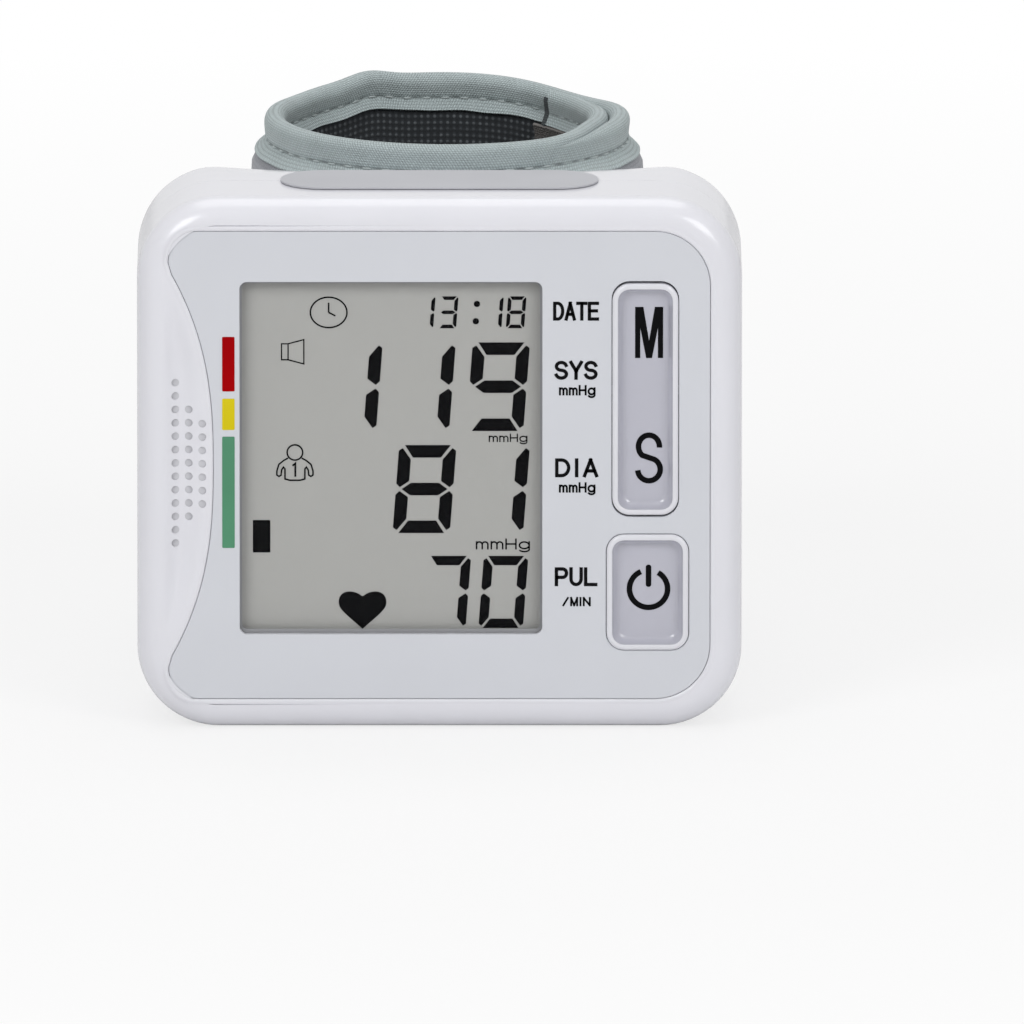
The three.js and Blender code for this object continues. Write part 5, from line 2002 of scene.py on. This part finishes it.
@dataclass(frozen=True)
class Layer:
    """A padded layer of the cuff.

    Args:
        ending: of its pieces' names.
        finish: what it is made of.
        out: how far outside the line its edges lie.
        crown: how far its middle swells, outwards where more than 0.
        seed: of its creases.
        slack: its length over that of the line.
    """

    ending: str
    finish: Finish
    out: float
    crown: float
    seed: float
    slack: float


@dataclass(frozen=True)
class Patch:
    """A flat patch between two angles and two heights on the loop.

    Args:
        name: the piece's name.
        finish: what it is made of.
        angles: where it starts and ends.
        heights: of its lower and its upper edge.
        steps: how many steps along and across.
        thickness: of the patch.
        lies_on: the sheet that it rests on; not used.
    """

    name: str
    finish: Finish
    angles: tuple[float, float]
    heights: tuple[float, float]
    steps: tuple[int, int]
    thickness: float
    lies_on: str


class Edge(Enum):
    """The cuff's two edges: 1 for the upper, -1 for the lower."""

    TOP = 1
    BOTTOM = -1


@dataclass
class Cuff:
    """The cuff: cover, lining and tapes of the fixed band and of the strap, with their stitches.

    A pair of values is for the outer side and for the inner side.
    """

    loop: Loop = Loop()
    band_end: float = 411.0
    strap_end: float = -58.0
    fold_width: float = 10.0
    tape_reaches: tuple[float, float] = (4.9, 4.25)
    tape_roll: float = 1.15
    tape_thickness: float = 0.35
    tape_rows: int = 60
    tape_unders: tuple[float, float] = (0.35, 0.65)
    stitch_drops: tuple[float, float] = (3.15, 2.8)
    stitch_pitch: float = 2.5
    stitch_length: float = 1.1
    stitch_radius: float = 0.12
    stitch_sink: float = 0.06
    tape_squares: tuple[float, float] = (2.6, 2.0)
    tape_flares: tuple[float, float] = (1.65, 0.9)
    tape_pinches: tuple[float, float] = (0.1, 0.25)
    end_strip_reach: float = 0.6
    end_strip_unders: tuple[float, float] = (0.3, 0.76)
    bury: float = 0.15
    layer_sinks: tuple[float, float] = (0.0, 0.3)
    layer_lifts: tuple[float, float] = (0.25, 0.0)
    layer_rows: int = 80
    tab_gap: float = 0.5
    tab_flatness: float = 0.85
    swell_rises: tuple[tuple[float, float], tuple[float, float]] = ((2.2, 6.6), (3.0, 5.2))
    cloth_thickness: float = 0.4
    edge: float = 1.5

    COVER = Layer("cover_cloth", Finishes.COVER, 0.0, 3.2, 1.0, 1.08)
    LINER = Layer("liner_knit", Finishes.LINER, -0.1, -1.0, 4.0, 0.95)
    BLADDER = Patch("air_bladder_film", Finishes.TUBE, (130.0, 300.0), (8.0, 60.2), (60, 30), 0.5,
                    "cuff_liner_knit")
    LOOPS = Patch("loop_tape_patch", Finishes.LOOPS, (350.0, 415.5), (4.4, 63.8), (50, 50), 0.4,
                  "cuff_liner_knit")
    HOOKS = Patch("hook_tape_patch", Finishes.HOOK, (30.0, -18.0), (14.0, 54.0), (40, 50), 0.4,
                  "strap_liner_knit")
    CREASES = ((0.16, 0.03, 0.0, 0.22), (0.45, 0.12, 7.0, 0.07))
    STITCH = ((-1.0, 0.35), (-0.6, 1.0), (0.6, 1.0), (1.0, 0.35))

    def __post_init__(self) -> None:
        """Lays out the two runs."""
        self.band = Run(self.loop, "cuff", self.band_end, True)
        self.strap = Run(self.loop, "strap", self.strap_end, False)

    def build(self) -> None:
        """Builds the bladder, both runs and the patches."""
        self.hang(self.band, self.patch(self.BLADDER, self.bladder_point), "silicone", "air_bladder")
        for run in (self.band, self.strap):
            self.hang(run, self.padded(run, self.COVER), "cover_fabric", f"{run.name}_cover")
            self.hang(run, self.padded(run, self.LINER), "liner_fabric", f"{run.name}_liner")
            for edge in Edge:
                node = f"{run.name}_binding_{edge.name.lower()}"
                self.hang(run, self.tape(run, edge), "binding_fabric", node)
                self.hang(run, self.stitches(run, edge), "binding_fabric")
        self.hang(self.band, self.end_tack_and_shade(), "binding_fabric")
        self.hang(self.band, self.patch(self.LOOPS, self.loops_point), "liner_fabric")
        self.hang(self.strap, self.patch(self.HOOKS, self.hooks_point), "liner_fabric", "hook_patch")

    def hang(self, run: Run, piece: bpy.types.Object, slot: str, *nodes: str) -> None:
        """Fixes a band's piece to the housing; a strap's piece only has its placement baked into its mesh and
        hides the CAD nodes it stands for.

        Args:
            run: the length of cuff that it belongs to.
            piece: the piece, in its place.
            slot: the record's material slot.
            nodes: CAD nodes that it takes the place of.
        """
        if run is self.band:
            settle(piece, "housing", slot, *nodes)
            return
        middle, fold = self.loop.height / 2, self.loop.fold
        start, end = (self.loop.point(angle, 0.0, middle) * MM for angle in (fold, fold - self.fold_width))
        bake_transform(piece)
        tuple(start)
        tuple(end)
        stand_in(piece, slot, *nodes)
        log.info("%s bends at the fold", piece.name)

    @staticmethod
    def pick(pair: tuple[Any, Any], side: float) -> Any:
        """The value for the outer side or for the inner side, from a pair."""
        return pair[0] if side > 0 else pair[1]

    def drop(self, height: float) -> float:
        """Distance from the nearer edge of the cuff."""
        return min(height, self.loop.height - height)

    def swell(self, height: float, side: float) -> float:
        """How full the padding is at a height, from 0 under the tapes to 1 half way up."""
        shoulder = smooth_step(*self.pick(self.swell_rises, side), self.drop(height))
        return shoulder * (0.8 + 0.2 * math.sin(math.pi * height / self.loop.height))

    def room(self, angle: float) -> float:
        """How freely the cover swells at an angle: less where it lies against the housing."""
        return 1 - 0.3 * math.exp(-((angle % 360 - 270) / 35) ** 2)

    def hem(self, drop: float) -> float:
        """How far the outer hem stands out at a distance from the edge, fading out below the tape.

        Args:
            drop: distance from the cuff's edge.

        Returns:
            The distance from the line.
        """
        reach = self.tape_reaches[0]
        stand = self.leg(max(min(drop, reach), self.tape_roll), 1.0) - 0.2
        return stand * (1 - smooth_step(reach, reach + 1.5, drop))

    def layer_point(self, run: Run, layer: Layer, along: float, up: float) -> Vector:
        """Finds a point of a padded layer, with shallow creases.

        Args:
            run: the length of cuff.
            layer: the layer.
            along: share of the run's length.
            up: share of the cuff's height between its edges.

        Returns:
            The place in millimetres.
        """
        side = math.copysign(1.0, layer.crown)
        height = self.edge + (self.loop.height - 2 * self.edge) * up
        room, drop, travel = self.room(run.angle(along)), self.drop(height), along * run.length
        full = self.swell(height, side) * (1 - self.tab_flatness * run.flatness(along)) * room
        crease = 0.0
        for wide, tall, shift, depth in self.CREASES:
            crease += noise.noise(Vector((travel * wide, height * tall, layer.seed + shift))) * depth
        lying = self.COVER.out + self.COVER.crown * self.swell(height, 1.0) * room
        rest = max(lying, self.hem(drop)) - self.bury - self.pick(self.layer_sinks, side)
        clear = smooth_step(0.0, 1.0, drop - self.tape_reaches[1])
        under = -self.inner(height) - self.tab_gap + self.pick(self.layer_lifts, side) * clear
        return run.point(along, layer.out + (layer.crown + crease * side) * full, height, rest, under)

    def padded(self, run: Run, layer: Layer) -> bpy.types.Object:
        """Lays a layer that the padding swells.

        Args:
            run: the length of cuff.
            layer: the cover or the lining.

        Returns:
            The cloth.
        """
        size, name = Vector((run.length * layer.slack, self.loop.height)), f"{run.name}_{layer.ending}"
        steps, place = (round(run.length), self.layer_rows), partial(self.layer_point, run, layer)
        piece = lay_cloth(name, steps, place, size, self.cloth_thickness, layer.finish)
        return piece

    def patch(self, patch: Patch, point: Callable[[float, float], Vector]) -> bpy.types.Object:
        """Lays a patch on the loop.

        Args:
            patch: its place and make.
            point: gives the place for an angle and a height.

        Returns:
            The patch.
        """
        (start, end), (low, high) = patch.angles, patch.heights
        length = math.radians(abs(end - start)) * self.loop.half.x

        def place(along: float, up: float) -> Vector:
            """A point for a share along and a share up."""
            return point(start + (end - start) * along, low + (high - low) * up)

        size = Vector((length, high - low))
        piece = lay_cloth(patch.name, patch.steps, place, size, patch.thickness, patch.finish)
        return piece

    def bladder_point(self, angle: float, height: float) -> Vector:
        """A point of the air bladder, between the band's cover and its lining."""
        return self.loop.point(angle, 0.9 * self.room(angle), height)

    def loops_point(self, angle: float, height: float) -> Vector:
        """A point of the patch of loops, on the wrist's side of the tab's end."""
        share = (angle - self.loop.fold) / (self.band_end - self.loop.fold)
        return self.band.point(share, -1.3, height, 0.0, -self.inner(height) - 0.9)

    def hooks_point(self, angle: float, height: float) -> Vector:
        """A point of the hook patch, on the inner side of the strap's end."""
        return self.loop.point(angle, -1.45, height)

    def inner(self, height: float) -> float:
        """Finds how far the strap's inner side stands in.

        Args:
            height: above the cuff's foot.

        Returns:
            The distance from the line, of the lining or of the tape's hem.
        """
        drop, reach = self.drop(height), self.tape_reaches[1]
        lining = self.cloth_thickness / 2 - self.LINER.out - self.LINER.crown * self.swell(height, -1.0)
        hem = self.leg(min(drop, reach), -1.0) * (1 - smooth_step(reach + 0.6, reach + 2.0, drop))
        return max(hem, lining)

    def leg(self, drop: float, side: float) -> float:
        """Finds how far a folded tape stands out: a roll, pinched at the stitches.

        Args:
            drop: distance from the cuff's edge.
            side: 1 on the outer leg of the tape, -1 on the inner.

        Returns:
            The distance from the line.
        """
        roll = self.tape_roll
        if drop < roll:
            square = self.pick(self.tape_squares, side)
            return roll * (1 - (1 - max(drop, 0.0) / roll) ** square) ** (1 / square)
        stitch, reach = self.pick(self.stitch_drops, side), self.pick(self.tape_reaches, side)
        pinch = self.pick(self.tape_pinches, side) * smooth_step(roll * 0.9, stitch, drop)
        flare = self.pick(self.tape_flares, side) * smooth_step(stitch, reach + 0.5, drop)
        return roll - pinch + flare

    def puckers(self, travel: float, drop: float, side: float, seed: float) -> float:
        """Finds how the stitches draw the tape in, and how unevenly it lies.

        Args:
            travel: distance along the run.
            drop: distance from the cuff's edge.
            side: 1 on the outer leg of the tape, -1 on the inner.
            seed: of its unevenness.

        Returns:
            The distance that it moves, outwards where more than 0.
        """
        near = math.exp(-((drop - self.pick(self.stitch_drops, side)) / 0.34) ** 2)
        pull = near * (0.24 + 0.12 * math.cos(2 * math.pi * travel / self.stitch_pitch))
        uneven = noise.noise(Vector((travel * 0.22, drop * 0.25, seed))) * 0.16
        return uneven * smooth_step(0.0, 2.0, drop) - pull

    def folded(self, over: float) -> tuple[float, float]:
        """Side and drop of a folded tape for a share across it, from the outer hem to the inner."""
        turn = 1 - 2 * over
        return math.copysign(1.0, turn), self.pick(self.tape_reaches, turn) * abs(turn) ** 1.35

    def tape_point(self, run: Run, edge: Edge, along: float, over: float) -> Vector:
        """Finds a point of a tape folded over an edge.

        Args:
            run: the length of cuff.
            edge: the edge that it binds.
            along: share of the run's length.
            over: share of the tape's width, from the outer hem.

        Returns:
            The place in millimetres.
        """
        side, drop = self.folded(over)
        travel, seed = along * run.length, 11.0 + 3 * side + edge.value
        out = side * (self.leg(drop, side) + self.puckers(travel, drop, side, seed))
        wander = noise.noise(Vector((travel * 0.18, seed, 0.0))) * 0.35
        down = drop + wander * smooth_step(3.0, self.pick(self.tape_reaches, side), drop)
        height = self.loop.height - down if edge is Edge.TOP else down + self.tape_thickness / 2
        rest = self.leg(max(drop, self.tape_roll), 1.0) - self.bury
        return run.point(along, out, height, rest, -self.leg(drop, -1.0) - self.pick(self.tape_unders, side))

    def tape(self, run: Run, edge: Edge) -> bpy.types.Object:
        """Folds a tape over an edge.

        Args:
            run: the length of cuff.
            edge: the edge that it binds.

        Returns:
            The tape.
        """
        size = Vector((run.length, sum(self.tape_reaches) + 1.6))
        steps, place = (round(run.length * 2.4), self.tape_rows), partial(self.tape_point, run, edge)
        name = f"{run.name}_tape_{edge.name.lower()}"
        piece = lay_cloth(name, steps, place, size, self.tape_thickness, Finishes.TAPE)
        return piece

    def end_strip_point(self, up: float, over: float) -> Vector:
        """Finds a point of the dark strip at the tab's end.

        Args:
            up: share of the cuff's height.
            over: share of the strip's width, from its outer edge.

        Returns:
            The place in millimetres.
        """
        side = 1.0 if over < 0.5 else -1.0
        height = 0.7 + (self.loop.height - 1.4) * up
        share = 1 + (0.25 - self.end_strip_reach * abs(1 - 2 * over)) / self.band.length
        under = -self.inner(height) - self.pick(self.end_strip_unders, side)
        return self.band.point(share, side * 1.2, height, 0.0, under)

    def end_tack_and_shade(self) -> bpy.types.Object:
        """The narrow dark strip that closes the tab's end: part tack, part painted shadow of the slit between
        the tab's end and the strap.
        """
        size = Vector((self.loop.height, 2 * self.end_strip_reach))
        return lay_cloth("tab_end_slit_shade_strip", (120, 8), self.end_strip_point, size, 0.3, Finishes.TACK_AND_SLIT_SHADE)

    def stitches(self, run: Run, edge: Edge) -> bpy.types.Object:
        """Sews a row of stitches on both legs of a tape.

        Args:
            run: the length of cuff.
            edge: the edge that it binds.

        Returns:
            The stitches, in one piece.
        """
        body = Solid()
        half = self.stitch_length / 2 / run.length
        for number in range(int(run.length / self.stitch_pitch)):
            middle = (number + 0.5) * self.stitch_pitch / run.length
            spots = [(middle + half * step, fat) for step, fat in self.STITCH]
            for side in (1, -1):
                body.close([self.thread_ring(run, share, side, edge, fat) for share, fat in spots])
        name = f"{run.name}_stitches_{edge.name.lower()}"
        return body.piece(name, Finishes.THREAD, smooth=60.0, even=False)

    def thread_ring(self, run: Run, share: float, side: int, edge: Edge, fat: float) -> list[Vector]:
        """Lays six points round the thread.

        Args:
            run: the length of cuff.
            share: of its length.
            side: 1 on the outer leg of the tape, -1 on the inner.
            edge: the edge that the tape binds.
            fat: share of the thread's full radius.

        Returns:
            The ring's points.
        """
        drop = self.pick(self.stitch_drops, side)
        middle = self.loop.height - drop if edge is Edge.TOP else drop
        above = self.tape_thickness / 2 - self.stitch_sink - self.stitch_radius * (1 - fat)
        rest = self.leg(drop, 1.0) - self.bury + above
        points = []
        for turn in (math.pi / 3 * step for step in range(6)):
            swing = Vector((math.cos(turn), math.sin(turn))) * self.stitch_radius * fat
            out = side * (self.leg(drop, side) + above) + swing.x
            under = -self.leg(drop, -1.0) - self.tape_unders[1] - above + swing.x
            points.append(run.point(share, out, middle + swing.y, rest, under))
        return points


@dataclass
class Studio:
    """Floor, soft lamps and the camera at the photograph's angle."""

    target: Vector = Vector((0.0, -14.5, 34.0))
    elevation: float = 12.0
    distance: float = 5000.0
    lens: float = 1399.2
    shift: tuple[float, float] = (0.0708, -0.0453)
    floor_half: float = 900.0
    fade: tuple[float, float] = (120.0, 420.0)

    LAMPS = (
        ("lamp_left", Vector((-520.0, -760.0, 640.0)), 420.0, 3.2),
        ("lamp_right", Vector((560.0, -700.0, 560.0)), 420.0, 2.5),
        ("lamp_top", Vector((0.0, 160.0, 900.0)), 700.0, 2.5),
    )

    def build(self) -> None:
        """Sets up everything that isn't part of the object."""
        self.world()
        self.floor()
        for name, place, size, power in self.LAMPS:
            self.lamp(name, place, size, power)
        self.camera()
        bpy.context.scene.view_settings.view_transform = "Standard"

    def camera(self) -> None:
        """A long lens far away, so that the view is nearly parallel."""
        data = bpy.data.cameras.new("camera")
        data.lens = self.lens
        data.sensor_width = 36.0
        data.shift_x, data.shift_y = self.shift
        data.clip_end = 200.0
        camera = bpy.data.objects.new("camera", data)
        tilt = math.radians(self.elevation)
        camera.location = (self.target + Vector((0, -math.cos(tilt), math.sin(tilt))) * self.distance) * MM
        camera.rotation_euler = (math.pi / 2 - tilt, 0, 0)
        bpy.context.scene.collection.objects.link(camera)
        bpy.context.scene.camera = camera

    def lamp(self, name: str, place: Vector, size: float, power: float) -> None:
        """A square soft lamp that looks at the object.

        Args:
            name: its name.
            place: where it hangs.
            size: of its side.
            power: in watts.
        """
        data = bpy.data.lights.new(name, "AREA")
        data.shape = "SQUARE"
        data.size = size * MM
        data.energy = power
        lamp = bpy.data.objects.new(name, data)
        lamp.location = place * MM
        lamp.rotation_euler = (self.target - place).to_track_quat("-Z", "Y").to_euler()
        bpy.context.scene.collection.objects.link(lamp)

    def world(self) -> None:
        """White where the camera or a reflection looks, a softer grey where it lights."""
        world = bpy.data.worlds.new("studio_world")
        bpy.context.scene.world = world
        world.use_nodes = True
        pen = Wiring(world.node_tree)
        rays = pen.node("LightPath").outputs
        seen = pen.math("MAXIMUM", rays["Is Camera Ray"], rays["Is Transmission Ray"])
        shown = pen.math("MAXIMUM", seen, pen.math("MULTIPLY", rays["Is Glossy Ray"], 0.75))
        light = {"Color": (1, 1, 1, 1), "Strength": pen.spread(shown, 0, 1, 0.42, 1.0)}
        pen.feed(world.node_tree.nodes["Background"], light)

    def floor(self) -> None:
        """A pale floor that turns into the white background away from the object."""
        mesh = bmesh.new()
        bmesh.ops.create_grid(mesh, x_segments=2, y_segments=2, size=self.floor_half * MM)
        floor = finish_mesh(mesh, "floor", [], even=False)
        material = bpy.data.materials.new("pale_floor")
        material.use_nodes = True
        pen = Wiring(material.node_tree)
        surface = material.node_tree.nodes["Principled BSDF"]
        pen.feed(surface, {"Base Color": (0.86, 0.86, 0.86, 1), "Roughness": 0.7})
        away = pen.node("VectorMath", {0: Finish.place(pen)}, operation="LENGTH").outputs["Value"]
        near, far = self.fade
        fade = pen.spread(away, near * MM, far * MM, 0.72, 1)
        white = pen.math("MULTIPLY", fade, pen.node("LightPath").outputs["Is Camera Ray"])
        pen.show(white, surface, pen.node("Emission", {"Strength": 1.0}))
        floor.data.materials.append(material)
        floor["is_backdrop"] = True


def write_sizes() -> None:
    """Puts the CAD's box and the dressed object's box side by side, as plain lists."""
    boxes = {"cad": CAD_BOX, "visual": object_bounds()}
    plain = {name: [list(corner) for corner in corners] for name, corners in boxes.items()}


def main() -> None:
    """Builds every sub-assembly, then the studio."""
    logging.basicConfig(level=logging.INFO, format="%(name)s: %(message)s")
    face = FaceLayout.from_frame()
    Housing(face).build()
    FacePanel(face).build()
    Display(face).build()
    signs = KeySigns()
    rocker = Key("rocker", face, face.rocker, "memory_set_rocker", ("memory_set_key", "memory_set_lens"))
    rocker.build(signs.rocker)
    power = Key("power", face, face.power, "power_button", ("power_key", "power_lens"))
    power.build(signs.power_sign)
    Cuff().build()
    Works().build()
    Studio().build()
    write_sizes()


if __name__ == "__main__":
    main()
